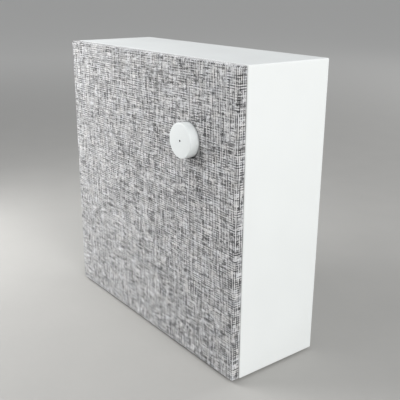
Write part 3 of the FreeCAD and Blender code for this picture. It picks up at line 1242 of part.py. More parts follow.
def add_electronics():
    """Amplifier board with its radio module, and the mains supply board."""
    left, right = CIRCUIT_AXES
    add_circuit_board("main_board", left)
    add_circuit_board("power_board", right)
    module = new_body("bluetooth_module")
    half_x = S.module_width / 2
    half_z = S.module_height / 2
    pad(module, "Shield", [rectangle(-half_x, -half_z, half_x, half_z)],
        CIRCUIT_FRONT - S.module_thickness, CIRCUIT_FRONT, (left[0], left[1] + S.module_up))
    heatsink = new_body("amplifier_heatsink")
    half_x = S.heatsink_width / 2
    half_z = S.heatsink_height / 2
    base_front = CIRCUIT_FRONT - S.heatsink_base
    pad(heatsink, "Base", [rectangle(-half_x, -half_z, half_x, half_z)],
        base_front, CIRCUIT_FRONT, left)
    fins = whole((S.heatsink_width - S.fin_width) / S.fin_pitch) + 1
    fin = rectangle(-half_x, -half_z, S.fin_width - half_x, half_z)
    feature = pad(heatsink, "Fin", [fin], CIRCUIT_FRONT - S.heatsink_depth, base_front, left)
    pattern_along(heatsink, feature, "H_Axis", S.heatsink_width - S.fin_width, fins)
    cans = [(left[0] + S.capacitor_spacing * k, left[1] - S.capacitor_drop) for k in (-1, 0, 1)]
    add_can("output_capacitors", cans, S.capacitor_radius, S.capacitor_height)
    add_can("bulk_capacitor", [(right[0], right[1] - S.bulk_drop)], S.bulk_radius, S.bulk_height)
    transformer = new_body("transformer")
    half_x = S.transformer_width / 2
    half_z = S.transformer_height / 2
    axis = (right[0], right[1] + S.transformer_up)
    pad(transformer, "Core", [rectangle(-half_x, -half_z, half_x, half_z)],
        CIRCUIT_FRONT - S.transformer_depth, CIRCUIT_FRONT, axis)
    bulge = S.transformer_winding
    winding = rounded_rectangle(bulge - half_x, -half_z - bulge, half_x - bulge, half_z + bulge, bulge)
    pad(transformer, "Winding", [winding],
        CIRCUIT_FRONT - S.transformer_depth + bulge, CIRCUIT_FRONT, axis)


# Leads

BEND_SHARE = 0.45
VOLUME_SLACK = 0.01


def lead_path(points):
    """Straight runs joined by tangent arcs as large as the runs allow, and the tightest radius."""
    edges, radii, last = [], [], points[0]
    for before, corner, after in zip(points, points[1:], points[2:]):
        backward, forward = before - corner, after - corner
        setback = BEND_SHARE * min(backward.Length, forward.Length)
        half_opening = backward.getAngle(forward) / 2
        start = corner + backward.normalize() * setback
        stop = corner + forward.normalize() * setback
        bisector = (backward + forward).normalize()
        radii.append(setback * math.tan(half_opening))
        from_corner = setback / math.cos(half_opening) - radii[-1]
        edges.append(Part.LineSegment(last, start).toShape())
        edges.append(Part.Arc(start, corner + bisector * from_corner, stop).toShape())
        last = stop
    edges.append(Part.LineSegment(last, points[-1]).toShape())
    return Part.Wire(edges), min(radii)


def add_wires(label, routes, radius):
    """A group of round wires along routes of (x, y, z) points."""
    wires = []
    for route in routes:
        points = [FreeCAD.Vector(*(as_size(x).value for x in point)) for point in route]
        path, tightest = lead_path(points)
        section = Part.Circle(points[0], points[1] - points[0], radius.value)
        wire = path.makePipeShell([Part.Wire(section.toShape())], True, False)
        plain_volume = math.pi * radius.value ** 2 * path.Length
        if abs(wire.Volume / plain_volume - 1) > VOLUME_SLACK:
            raise RuntimeError(f"{label}: a wire's volume doesn't fit its length")
        print(f"{label}: {path.Length:.0f} mm, tightest bend {tightest:.1f} mm")
        wires.append(wire)
    group = doc.addObject("Part::Feature", label)
    group.Label = label
    group.Shape = Part.makeCompound(wires)
    bodies.append(group)


def add_leads():
    """Wires from the inlet to the supply board, and from the main board to the drivers and control."""
    left, right = CIRCUIT_AXES
    board_edge = left[0] + S.circuit_width / 2
    pin = S.inlet_pin_spacing / 2
    low = INLET_AXIS[1]
    outer, inner = INLET_AXIS[0] - pin, INLET_AXIS[0] + pin
    far, close = right[0] - 8.5, right[0] - 13.5
    landing = right[1] - 36.5
    add_wires("mains_leads", [
        [(outer, TAG_END, low), (outer, -14, low), (36, -15, low + 3), (far, -9, landing - 2),
         (far, 8, landing), (far, CIRCUIT_FRONT, landing)],
        [(inner, TAG_END, low), (inner, -8, low), (38, -8.5, low + 3), (close, -4, landing - 2),
         (close, 10, landing), (close, CIRCUIT_FRONT, landing)],
    ], S.mains_lead_radius)
    strip = WOOFER_AXIS[0] - TERMINAL_OUTER
    strip_y = (LEDGE + S.basket_sheet + TERMINAL_BACK) / 2
    seat = board_edge - 3.5
    woofer_levels = [WOOFER_AXIS[1] + S.terminal_pitch / 2 * side for side in (-1, 1)]
    add_wires("woofer_leads", [
        [(strip, strip_y, z), (strip - 9, strip_y, z), (seat + 2.5, 3.5, z), (seat, 12, z),
         (seat, CIRCUIT_FRONT, z)] for z in woofer_levels
    ], S.lead_radius)
    tweeter_z = TWEETER_AXIS[1] - 6
    landing = left[1] + 40.5
    starts = [TWEETER_AXIS[0] + S.tweeter_lead_pitch / 2 * side for side in (-1, 1)]
    add_wires("tweeter_leads", [
        [(x, TWEETER_BACK, tweeter_z), (x, 1, tweeter_z), (x - 5, 7, tweeter_z - 13.5),
         (x - 13, 12, landing), (x - 13, CIRCUIT_FRONT, landing)] for x in starts
    ], S.lead_radius)
    x, z = KNOB_AXIS[0] - 12, KNOB_AXIS[1] - 6
    seat, landing = board_edge - 2.5, left[1] + 30.5
    add_wires("control_lead", [
        [(x, CONTROL_BACK, z), (x, -5, z), (x - 13, 2, z - 6.5), (2, 7, z - 14.5), (-26, 9, z - 19.5),
         (seat + 6, 11, landing + 10), (seat, 14, landing), (seat, CIRCUIT_FRONT, landing)],
    ], S.control_lead_radius)


def write_parts():
    """Check every object, then write each piece to its own file."""
    doc.recompute()
    failed = [o.Label for o in doc.Objects if {"Invalid", "Error"} & set(o.State)]
    failed += [b.Label for b in bodies if b.Shape.isNull() or not b.Shape.isValid()]
    if failed:
        raise RuntimeError("these objects failed: " + ", ".join(failed))
    os.makedirs("parts", exist_ok=True)
    for body in bodies:
        body.Shape.exportStep(os.path.join("parts", body.Label + ".step"))
    print(f"{len(bodies)} pieces written")


add_cabinet_shell()
add_feet()
add_seal("baffle_seal", BAFFLE_BACK)
add_seal("rear_seal", REAR_LEDGE)
add_front_baffle()
add_grille_frame()
add_grille_cloth()
add_peg_cups()
add_knob()
add_light_pipe()
add_encoder_shaft()
add_encoder()
add_woofer_basket()
add_woofer_soft_parts()
add_woofer_moving_parts()
add_woofer_motor()
add_tweeter()
add_rear_panel()
add_port_tube()
add_connector_tray()
add_mains_inlet()
add_aux_jack()
add_electronics()
add_leads()
write_parts()
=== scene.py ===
"""Looks of a box loudspeaker with a cloth front and one control knob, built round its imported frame.

Metres, in the frame's own axes: +X is the right-hand side seen from the front, the front faces -Y
and +Z is up.
"""
import json
import logging
import math
from contextlib import contextmanager
from dataclasses import dataclass, replace
from enum import Enum
from typing import Any, Callable, Iterator, NamedTuple

import bmesh
import bpy
import numpy as np
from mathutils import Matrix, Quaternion, Vector


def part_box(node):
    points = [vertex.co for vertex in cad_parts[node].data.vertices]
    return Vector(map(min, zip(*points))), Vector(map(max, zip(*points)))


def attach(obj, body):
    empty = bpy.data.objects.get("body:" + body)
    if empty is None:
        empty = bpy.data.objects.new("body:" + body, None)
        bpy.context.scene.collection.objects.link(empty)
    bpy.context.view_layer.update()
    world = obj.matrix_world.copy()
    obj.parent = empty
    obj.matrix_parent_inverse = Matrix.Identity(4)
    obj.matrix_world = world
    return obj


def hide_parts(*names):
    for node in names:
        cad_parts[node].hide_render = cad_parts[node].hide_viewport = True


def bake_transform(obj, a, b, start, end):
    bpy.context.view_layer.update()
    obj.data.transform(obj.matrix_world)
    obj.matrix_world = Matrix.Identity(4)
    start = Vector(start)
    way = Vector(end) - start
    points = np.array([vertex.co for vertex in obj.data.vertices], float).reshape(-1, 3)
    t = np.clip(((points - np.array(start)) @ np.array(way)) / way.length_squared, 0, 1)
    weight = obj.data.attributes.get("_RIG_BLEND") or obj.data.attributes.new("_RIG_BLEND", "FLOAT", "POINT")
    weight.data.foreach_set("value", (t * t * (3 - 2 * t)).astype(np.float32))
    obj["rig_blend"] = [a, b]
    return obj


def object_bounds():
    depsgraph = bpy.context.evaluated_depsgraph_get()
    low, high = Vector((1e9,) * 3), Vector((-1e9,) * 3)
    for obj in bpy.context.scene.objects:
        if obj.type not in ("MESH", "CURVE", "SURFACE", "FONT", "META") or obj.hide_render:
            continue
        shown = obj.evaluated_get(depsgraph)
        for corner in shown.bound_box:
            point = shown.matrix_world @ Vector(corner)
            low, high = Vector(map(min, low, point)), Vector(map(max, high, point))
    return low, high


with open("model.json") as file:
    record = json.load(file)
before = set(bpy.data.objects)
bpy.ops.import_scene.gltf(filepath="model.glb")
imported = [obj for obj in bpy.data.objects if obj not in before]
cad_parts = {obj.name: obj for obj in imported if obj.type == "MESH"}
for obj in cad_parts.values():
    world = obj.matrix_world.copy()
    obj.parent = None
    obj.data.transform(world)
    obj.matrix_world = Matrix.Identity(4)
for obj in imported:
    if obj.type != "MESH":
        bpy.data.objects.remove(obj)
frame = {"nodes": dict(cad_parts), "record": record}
CAD_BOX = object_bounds()

LOG = logging.getLogger("speaker")
MM = 0.001
TURN = 2 * math.pi
QUARTER = math.pi / 2
ALONG_Y = (0.0, 1.0, 0.0)
MERGE = 1e-6
BLEND_SHARES = "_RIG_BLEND"

Colour = tuple[float, float, float]
Profile = list[tuple[float, float]]
Socket = bpy.types.NodeSocket
Input = Socket | float | tuple[float, ...]
Tree = bpy.types.NodeTree
Piece = bpy.types.Object
Material = bpy.types.Material
Materials = dict[str, Material]
Array = np.ndarray


# Node trees


@dataclass
class NodeSketch:
    """Draws a node tree in short calls that take sockets or plain numbers."""

    tree: Tree

    def add(self, kind: str, inputs: dict[int | str, Input], **settings: Any) -> bpy.types.Node:
        """Add a node.

        Args:
            kind: Blender's name for the kind of node.
            inputs: Sockets to link or values to set, by socket name or number.
            **settings: The node's own settings.

        Returns:
            The new node.
        """
        node = self.tree.nodes.new(kind)
        for setting, value in settings.items():
            setattr(node, setting, value)
        for key, value in inputs.items():
            if isinstance(value, Socket):
                self.tree.links.new(value, node.inputs[key])
            else:
                node.inputs[key].default_value = value
        return node

    def math(self, operation: str, first: Input, second: Input = 0.0) -> Socket:
        """Combine two numbers by one of Blender's sums."""
        return self.add("ShaderNodeMath", {0: first, 1: second}, operation=operation).outputs[0]

    def lean(self, value: Input, share: float) -> Socket:
        """A share of how far a number lies from one half."""
        return self.math("MULTIPLY", self.math("SUBTRACT", value, 0.5), share)

    def between(self, share: Input, first: Input, second: Input) -> Socket:
        """Go from one number to another by a share."""
        return self.add("ShaderNodeMix", {0: share, 2: first, 3: second}).outputs[0]

    def remap(self, value: Input, low: float, high: float, to_low: float = 0.0,
              to_high: float = 1.0) -> Socket:
        """Ease a number from one range to another, held at the ends."""
        inputs = {0: value, 1: low, 2: high, 3: to_low, 4: to_high}
        return self.add("ShaderNodeMapRange", inputs, interpolation_type="SMOOTHSTEP").outputs[0]

    def noise(self, vector: Socket, scale: Input, detail: float, flat: bool = False,
              rough: float = 0.5) -> Socket:
        """Read smooth noise.

        Args:
            vector: Where to read it.
            scale: Waves in a unit.
            detail: Finer layers.
            flat: Whether the noise is two-dimensional.
            rough: Strength of each finer layer, as a share of the last.

        Returns:
            A number about one half.
        """
        inputs = {"Vector": vector, "Scale": scale, "Detail": detail, "Roughness": rough}
        dimensions = "2D" if flat else "3D"
        return self.add("ShaderNodeTexNoise", inputs, noise_dimensions=dimensions).outputs[0]

    def mix(self, factor: Input, first: Input, second: Input, way: str = "MIX") -> Socket:
        """Mix two colours, by the factor of the second and Blender's name for the way."""
        inputs = {0: factor, 6: first, 7: second}
        return self.add("ShaderNodeMix", inputs, data_type="RGBA", blend_type=way).outputs[2]

    def point(self, x: Input, y: Input) -> Socket:
        """Join two numbers as a point."""
        return self.add("ShaderNodeCombineXYZ", {0: x, 1: y}).outputs[0]


def opaque(colour: Colour, share: float = 1.0) -> tuple[float, ...]:
    """A colour, scaled by a share, with full cover."""
    return (*(min(channel * share, 1.0) for channel in colour), 1.0)


class Effects:
    """Surface effects that several finishes use, each a node group that is built once."""

    DRIFTS = 24.0
    DRIFT_SHARE = 0.7
    SPECKS_TO_GRAINS = 0.5
    STROKE_SQUEEZE = (1.0, 1.0, 0.04)
    CLOUDS = 60.0
    LANE_STEP = 7.13
    LANE_ROUGHNESS = 0.85
    WEFT_APART = 500.0
    WARP_STRAY = 1.55
    WEFT_STRAY = 1.85
    SECOND_YARN = 0.27
    TOP_SHARE = 0.65
    GAP_BESIDE = (0.28, 0.5)
    GAP_AT_END = (0.1, 0.5, 0.35, 1.0)
    FALL_BESIDE = 2.4
    FALL_AT_END = 1.6

    def __init__(self) -> None:
        """Build the groups."""
        self.grain = self._build_grain()
        self.strokes = self._build_strokes()
        self.yarns = self._build_yarns()

    @staticmethod
    def _open(name: str, inputs: dict[str, str]) -> tuple[NodeSketch, Any]:
        """Start a group.

        Args:
            name: Name of the group.
            inputs: Kinds of its input sockets, by name.

        Returns:
            The group's sketch and the sockets of its inputs.
        """
        sketch = NodeSketch(bpy.data.node_groups.new(name, "ShaderNodeTree"))
        for label, kind in inputs.items():
            sketch.tree.interface.new_socket(label, in_out="INPUT", socket_type="NodeSocket" + kind)
        return sketch, sketch.add("NodeGroupInput", {}).outputs

    @staticmethod
    def _close(sketch: NodeSketch, outputs: dict[str, Socket]) -> Tree:
        """Give a group its outputs.

        Args:
            sketch: The group's sketch.
            outputs: The numbers that it puts out, by name.

        Returns:
            The finished group.
        """
        for label in outputs:
            sketch.tree.interface.new_socket(label, in_out="OUTPUT", socket_type="NodeSocketFloat")
        sketch.add("NodeGroupOutput", outputs)
        return sketch.tree

    def _build_grain(self) -> Tree:
        """Fine grain of a moulding, with slow drifts of tone.

        Returns:
            A group with the outputs Tone and Height, both about one half.
        """
        sketch, entry = self._open("moulded_grain", {"Vector": "Vector", "Fineness": "Float"})
        drift = sketch.noise(entry["Vector"], self.DRIFTS, 2.0)
        specks = sketch.math("MULTIPLY", entry["Fineness"], self.SPECKS_TO_GRAINS)
        speck = sketch.noise(entry["Vector"], specks, 1.0)
        tone = sketch.math("ADD", sketch.math("MULTIPLY", drift, self.DRIFT_SHARE),
                           sketch.math("MULTIPLY", speck, 1 - self.DRIFT_SHARE))
        height = sketch.noise(entry["Vector"], entry["Fineness"], 2.0)
        return self._close(sketch, {"Tone": tone, "Height": height})

    def _build_strokes(self) -> Tree:
        """Fine strokes of drawn or turned metal.

        Returns:
            A group with the outputs Tone and Height, both about one half.
        """
        sketch, entry = self._open("metal_strokes", {"Vector": "Vector", "Fineness": "Float"})
        inputs = {"Vector": entry["Vector"], "Scale": self.STROKE_SQUEEZE}
        squeezed = sketch.add("ShaderNodeMapping", inputs).outputs[0]
        strokes = sketch.noise(squeezed, entry["Fineness"], 3.0)
        cloud = sketch.noise(entry["Vector"], self.CLOUDS, 2.0)
        tone = sketch.math("MULTIPLY", sketch.math("ADD", strokes, cloud), 0.5)
        return self._close(sketch, {"Tone": tone, "Height": strokes})

    def _tone_along(self, sketch: NodeSketch, number: Socket, along: Socket, run: Socket, apart: float,
                    stray: float) -> Socket:
        """Tone along a yarn, where every second yarn is a little lighter.

        Args:
            sketch: The group's sketch.
            number: The yarn's number.
            along: Place along the yarn.
            run: Length over which the tone changes.
            apart: Shift that keeps warp and weft from looking alike.
            stray: How far the tone strays from one half.

        Returns:
            A number about one half.
        """
        lane = sketch.math("ADD", sketch.math("MULTIPLY", number, self.LANE_STEP), apart)
        place = sketch.point(lane, sketch.math("DIVIDE", along, run))
        noise = sketch.noise(place, 1.0, 3.0, flat=True, rough=self.LANE_ROUGHNESS)
        lift = sketch.lean(sketch.math("FLOORED_MODULO", number, 2.0), self.SECOND_YARN)
        return sketch.math("ADD", sketch.math("ADD", sketch.lean(noise, stray), lift), 0.5)

    @staticmethod
    def _from_middle(sketch: NodeSketch, count: Socket) -> Socket:
        """Distance from the middle of a yarn."""
        return sketch.math("ABSOLUTE", sketch.math("SUBTRACT", sketch.math("FRACT", count), 0.5))

    def _build_yarns(self) -> Tree:
        """Plain weave of spun yarns, with faint streaks along the warp and flecks along the weft.

        Returns:
            A group that takes a point counted in yarns and the lengths of streaks and flecks, and
            puts out the top yarn's Tone, the Gap between yarns and the Height of the weave.
        """
        sketch, entry = self._open("woven_yarns", {"Yarns": "Vector", "Streak": "Float", "Fleck": "Float"})
        across, along, _ = sketch.add("ShaderNodeSeparateXYZ", {0: entry["Yarns"]}).outputs
        column = sketch.math("FLOOR", across)
        row = sketch.math("FLOOR", along)
        warp_on_top = sketch.math("FLOORED_MODULO", sketch.math("ADD", column, row), 2.0)
        warp = self._tone_along(sketch, column, along, entry["Streak"], 0.0, self.WARP_STRAY)
        weft = self._tone_along(sketch, row, across, entry["Fleck"], self.WEFT_APART, self.WEFT_STRAY)
        shows = sketch.remap(warp_on_top, 0.0, 1.0, 1 - self.TOP_SHARE, self.TOP_SHARE)
        from_column = self._from_middle(sketch, across)
        from_row = self._from_middle(sketch, along)
        beside = sketch.between(warp_on_top, from_row, from_column)
        at_end = sketch.between(warp_on_top, from_column, from_row)
        gap = sketch.math("MULTIPLY", sketch.remap(beside, *self.GAP_BESIDE),
                          sketch.remap(at_end, *self.GAP_AT_END))
        fall = sketch.math("MULTIPLY", sketch.math("MULTIPLY", beside, beside), self.FALL_BESIDE)
        dive = sketch.math("MULTIPLY", sketch.math("MULTIPLY", at_end, at_end), self.FALL_AT_END)
        height = sketch.math("SUBTRACT", sketch.math("SUBTRACT", 1.0, fall), dive)
        tone = sketch.between(shows, weft, warp)
        return self._close(sketch, {"Tone": tone, "Gap": gap, "Height": height})


# Finishes


class Surface(NamedTuple):
    """What varies over a surface."""

    colour: Socket
    roughness: Socket
    height: Socket


@dataclass
class Canvas(NodeSketch):
    """A material's tree, with the shared effects and the coordinates to draw them on."""

    effects: Effects

    def __post_init__(self) -> None:
        """Add the coordinates."""
        self.place = self.add("ShaderNodeTexCoord", {}).outputs


@dataclass(frozen=True)
class Finish:
    """A surface finish: colour, gloss, and how far and how finely they vary."""

    TONES = (0.3, 0.7)

    colour: Colour
    roughness: float
    spread: float = 0.1
    gloss_spread: float = 0.05
    fineness: float = 2400.0
    depth: float = 0.02 * MM

    def build(self, name: str, effects: Effects) -> Material:
        """Make the material.

        Args:
            name: Name of the material.
            effects: The shared effects.

        Returns:
            A material with the finish's colour, gloss and relief.
        """
        material = bpy.data.materials.new(name)
        material.use_nodes = True
        material.node_tree.nodes.clear()
        canvas = Canvas(material.node_tree, effects)
        surface = self.surface(canvas)
        relief = {"Height": surface.height, "Distance": self.depth, "Strength": 1.0}
        bump = canvas.add("ShaderNodeBump", relief)
        shader = canvas.add("ShaderNodeBsdfPrincipled", {
            "Base Color": surface.colour, "Roughness": surface.roughness, "Normal": bump.outputs[0],
            **self.constants()})
        canvas.add("ShaderNodeOutputMaterial", {"Surface": shader.outputs[0]})
        material.diffuse_color = opaque(self.colour)
        return material

    def effect(self, effects: Effects) -> Tree:
        """Group that the surface follows."""
        return effects.grain

    def surface(self, canvas: Canvas) -> Surface:
        """Draw the effect, and let colour and gloss follow its tone.

        Args:
            canvas: The material's tree.

        Returns:
            What varies over the surface.
        """
        inputs = {"Vector": canvas.place["Object"], "Fineness": self.fineness}
        drawn = canvas.add("ShaderNodeGroup", inputs, node_tree=self.effect(canvas.effects)).outputs
        dark, light = (opaque(self.colour, 1 + way * self.spread) for way in (-1, 1))
        colour = canvas.mix(canvas.remap(drawn["Tone"], *self.TONES), dark, light)
        return Surface(colour, self.gloss(canvas, drawn["Tone"]), drawn["Height"])

    def gloss(self, canvas: Canvas, tone: Socket) -> Socket:
        """Roughness that follows a tone."""
        ends = (self.roughness - self.gloss_spread, self.roughness + self.gloss_spread)
        return canvas.remap(tone, *self.TONES, *ends)

    def constants(self) -> dict[str, float]:
        """Inputs of the shader that are the same all over."""
        return {"Specular IOR Level": 0.4}


@dataclass(frozen=True)
class Metal(Finish):
    """Bare or plated metal with drawn strokes."""

    fineness: float = 1500.0
    depth: float = 0.004 * MM

    def effect(self, effects: Effects) -> Tree:
        """Drawn strokes."""
        return effects.strokes

    def constants(self) -> dict[str, float]:
        """Metal all over."""
        return {"Metallic": 1.0}


@dataclass(frozen=True)
class Gloss(Finish):
    """Smooth moulding or sleeve under a clear coat."""

    spread: float = 0.06
    fineness: float = 300.0
    depth: float = 0.003 * MM
    coat: float = 0.5

    def constants(self) -> dict[str, float]:
        """The coat is even."""
        return {"Coat Weight": self.coat, "Coat Roughness": 0.08}


@dataclass(frozen=True)
class Laminate(Finish):
    """Circuit board with copper tracks under its solder mask."""

    track: Colour = (0.10, 0.30, 0.13)
    cells: float = 190.0
    scatter: float = 0.7
    track_edges: tuple[float, float] = (0.36, 0.42)

    def surface(self, canvas: Canvas) -> Surface:
        """Draw the tracks as the edges of square cells.

        Args:
            canvas: The material's tree.

        Returns:
            What varies over the board.
        """
        inputs = {"Vector": canvas.place["Object"], "Scale": self.cells, "Randomness": self.scatter}
        cells = canvas.add("ShaderNodeTexVoronoi", inputs, distance="CHEBYCHEV", feature="F1")
        tracks = canvas.remap(cells.outputs["Distance"], *self.track_edges)
        mask = super().surface(canvas)
        return Surface(canvas.mix(tracks, mask.colour, opaque(self.track)), mask.roughness, tracks)


@dataclass(frozen=True)
class Woven(Finish):
    """Plain-woven cloth of light and dark spun yarns."""

    BLOTCHES = 0.045
    BLOTCH_DEPTH = 0.08
    LIGHT_YARNS = (0.33, 0.68)
    TINTS = 0.11
    COOL = (0.96, 0.99, 1.04, 1.0)
    WARM = (1.04, 1.0, 0.95, 1.0)
    FIBRES = 5.0
    FIBRE_SHADE = (0.82, 1.14)
    FIBRE_RELIEF = 0.35
    GAP_SHADE = 0.35

    gloss_spread: float = 0.06
    dark: Colour = (0.1, 0.1, 0.1)
    pitch: float = 0.6 * MM
    streak: float = 24.0
    fleck: float = 18.0
    flat_size: tuple[float, float] | None = None
    fuzz: float = 0.0
    depth: float = 0.1 * MM

    def count_yarns(self, canvas: Canvas) -> Socket:
        """Count places in yarns, on the flat cut where the cloth has one.

        Args:
            canvas: The material's tree.

        Returns:
            A point, one yarn to the unit.
        """
        if self.flat_size:
            across, along = (length / self.pitch for length in self.flat_size)
            inputs = {"Vector": canvas.place["UV"], "Scale": (across, along, 1.0),
                      "Location": (0.5 - across / 2, 0.5 - along / 2, 0.0)}
        else:
            inputs = {"Vector": canvas.place["Object"], "Scale": (1 / self.pitch,) * 3,
                      "Rotation": (QUARTER, 0.0, 0.0)}
        return canvas.add("ShaderNodeMapping", inputs).outputs[0]

    def surface(self, canvas: Canvas) -> Surface:
        """Draw the yarns and their fibres, with painted shade in the gaps between the yarns.

        Args:
            canvas: The material's tree.

        Returns:
            What varies over the cloth.
        """
        counted = self.count_yarns(canvas)
        inputs = {"Yarns": counted, "Streak": self.streak, "Fleck": self.fleck}
        yarns = canvas.add("ShaderNodeGroup", inputs, node_tree=canvas.effects.yarns).outputs
        blotch = canvas.lean(canvas.noise(counted, self.BLOTCHES, 2.0), self.BLOTCH_DEPTH)
        tone = canvas.math("ADD", yarns["Tone"], blotch)
        light = canvas.remap(tone, *self.LIGHT_YARNS)
        colour = canvas.mix(light, opaque(self.dark), opaque(self.colour))
        tint = canvas.mix(canvas.noise(counted, self.TINTS, 1.0), self.COOL, self.WARM)
        fibre = canvas.noise(counted, self.FIBRES, 3.0)
        # painted shade: the colour is darkened in the gaps between yarns, where the yarns shade each other
        shade = canvas.math("MULTIPLY", canvas.remap(yarns["Gap"], 0.0, 1.0, 1.0, self.GAP_SHADE),
                            canvas.remap(fibre, *self.TONES, *self.FIBRE_SHADE))
        grey = canvas.add("ShaderNodeCombineColor", {0: shade, 1: shade, 2: shade}).outputs[0]
        shaded = canvas.mix(1.0, canvas.mix(1.0, colour, tint, "MULTIPLY"), grey, "MULTIPLY")
        bristle = canvas.math("MULTIPLY", fibre, self.FIBRE_RELIEF)
        height = canvas.math("ADD", yarns["Height"], bristle)
        return Surface(shaded, self.gloss(canvas, fibre), height)

    def constants(self) -> dict[str, float]:
        """Spun yarn has little gloss and some fuzz."""
        return {"Specular IOR Level": 0.15, "Sheen Weight": self.fuzz, "Sheen Roughness": 0.5}


@dataclass(frozen=True)
class Backdrop(Finish):
    """Studio floor whose colour is painted paler away from its middle, where less light falls on it: painted
    light that makes up for the lamps' fall-off.
    """

    far_painted_light: Colour = (0.78, 0.77, 0.74)
    near: float = 0.4
    far: float = 2.0

    def surface(self, canvas: Canvas) -> Surface:
        """Draw the grain, with painted light that pales it by distance.

        Args:
            canvas: The material's tree.

        Returns:
            What varies over the floor.
        """
        grain = super().surface(canvas)
        length = canvas.add("ShaderNodeVectorMath", {0: canvas.place["Object"]}, operation="LENGTH")
        # painted light: the floor's colour pales with distance from the middle, to make up for the lamps'
        # fall-off
        share = canvas.remap(length.outputs["Value"], self.near, self.far)
        return grain._replace(colour=canvas.mix(share, grain.colour, opaque(self.far_painted_light)))


FLOOR = Backdrop((0.43, 0.423, 0.405), 0.9, spread=0.015, fineness=400.0)
CLOTH = Woven((0.74, 0.742, 0.746), 0.9, dark=(0.025, 0.025, 0.027), pitch=0.75 * MM, fuzz=0.5)
FINISHES: dict[str, Finish] = {
    "cabinet_white": Finish((0.80, 0.82, 0.81), 0.5, spread=0.012, fineness=3000.0, depth=0.006 * MM),
    "knob_white": Finish((0.80, 0.83, 0.825), 0.4, spread=0.01, fineness=3500.0, depth=0.003 * MM),
    "grille_black": Finish((0.022, 0.022, 0.024), 0.6, spread=0.15),
    "baffle_black": Finish((0.026, 0.026, 0.028), 0.62, spread=0.15),
    "foot_rubber": Finish((0.16, 0.16, 0.165), 0.8, fineness=1800.0),
    "seal_foam": Finish((0.035, 0.035, 0.036), 0.95, spread=0.3, fineness=1600.0, depth=0.15 * MM),
    "screw_steel": Metal((0.09, 0.09, 0.095), 0.38),
    "cone_paper": Finish((0.035, 0.035, 0.037), 0.8, spread=0.25, fineness=900.0, depth=0.06 * MM),
    "dust_cap_paper": Finish((0.03, 0.03, 0.032), 0.45, spread=0.15, fineness=1200.0),
    "surround_rubber": Finish((0.02, 0.02, 0.02), 0.55, fineness=1500.0, depth=0.01 * MM),
    "spider_cloth": Woven((0.62, 0.46, 0.22), 0.9, dark=(0.36, 0.24, 0.1), pitch=0.7 * MM),
    "coil_copper": Metal((0.72, 0.36, 0.18), 0.3),
    "basket_steel": Finish((0.028, 0.028, 0.03), 0.5, fineness=2000.0),
    "plated_steel": Metal((0.6, 0.61, 0.62), 0.32, spread=0.08),
    "ferrite": Finish((0.07, 0.07, 0.075), 0.65, spread=0.15, fineness=1200.0),
    "tweeter_black": Finish((0.03, 0.03, 0.032), 0.45),
    "dome_silk": Woven((0.06, 0.06, 0.065), 0.6, dark=(0.03, 0.03, 0.032), pitch=0.4 * MM,
                       depth=0.02 * MM),
    "light_pipe": Gloss((0.035, 0.038, 0.04), 0.2),
    "lamp": Gloss((0.8, 0.8, 0.77), 0.15),
    "encoder_metal": Metal((0.58, 0.58, 0.59), 0.35, spread=0.08),
    "plain_plastic": Finish((0.03, 0.03, 0.032), 0.5),
    "board_green": Laminate((0.015, 0.1, 0.05), 0.35),
    "shield_tin": Metal((0.66, 0.67, 0.68), 0.4, spread=0.06),
    "heatsink_aluminium": Metal((0.55, 0.56, 0.57), 0.4, spread=0.08),
    "can_sleeve": Gloss((0.02, 0.025, 0.08), 0.3),
    "transformer": Gloss((0.7, 0.5, 0.06), 0.4, coat=0.2),
    "lead_jacket": Gloss((0.03, 0.03, 0.032), 0.4, coat=0.15),
    "pin_brass": Metal((0.78, 0.66, 0.4), 0.25, spread=0.06),
}


# Modelling


def select_only(*pieces: Piece) -> None:
    """Select some pieces and nothing else, since the frame's nodes come in selected.

    Args:
        *pieces: The pieces, of which the first becomes the active one.
    """
    bpy.ops.object.select_all(action="DESELECT")
    for piece in pieces:
        piece.select_set(True)
    if pieces:
        bpy.context.view_layer.objects.active = pieces[0]


@contextmanager
def editing(piece: Piece) -> Iterator[None]:
    """Work on one piece in edit mode.

    Args:
        piece: The piece.

    Yields:
        Nothing, while edit mode is on.
    """
    select_only(piece)
    bpy.ops.object.mode_set(mode="EDIT")
    yield
    bpy.ops.object.mode_set(mode="OBJECT")


def select_faces(piece: Piece, chosen: Callable[[bmesh.types.BMFace], bool]) -> None:
    """Select faces of a piece that is in edit mode.

    Args:
        piece: The piece.
        chosen: Test that a selected face passes.
    """
    bpy.ops.mesh.select_mode(type="FACE")
    bpy.ops.mesh.select_all(action="DESELECT")
    mesh = bmesh.from_edit_mesh(piece.data)
    for face in mesh.faces:
        face.select_set(chosen(face))
    bmesh.update_edit_mesh(piece.data)


def smooth(piece: Piece, degrees: float = 35.0) -> None:
    """Shade a piece smooth, with creases sharper than an angle kept."""
    select_only(piece)
    bpy.ops.object.shade_smooth_by_angle(angle=math.radians(degrees))


def arc(centre: tuple[float, float], radius: float, start: float, stop: float, steps: int) -> Profile:
    """Points along an arc of a profile.

    Args:
        centre: Radius and depth of the arc's centre.
        radius: The arc's radius.
        start: Angle at which it starts, in degrees.
        stop: Angle at which it stops, in degrees.
        steps: Stretches between its points.

    Returns:
        The points, with both ends.
    """
    angles = [math.radians(start + (stop - start) * k / steps) for k in range(steps + 1)]
    return [(centre[0] + radius * math.cos(a), centre[1] + radius * math.sin(a)) for a in angles]


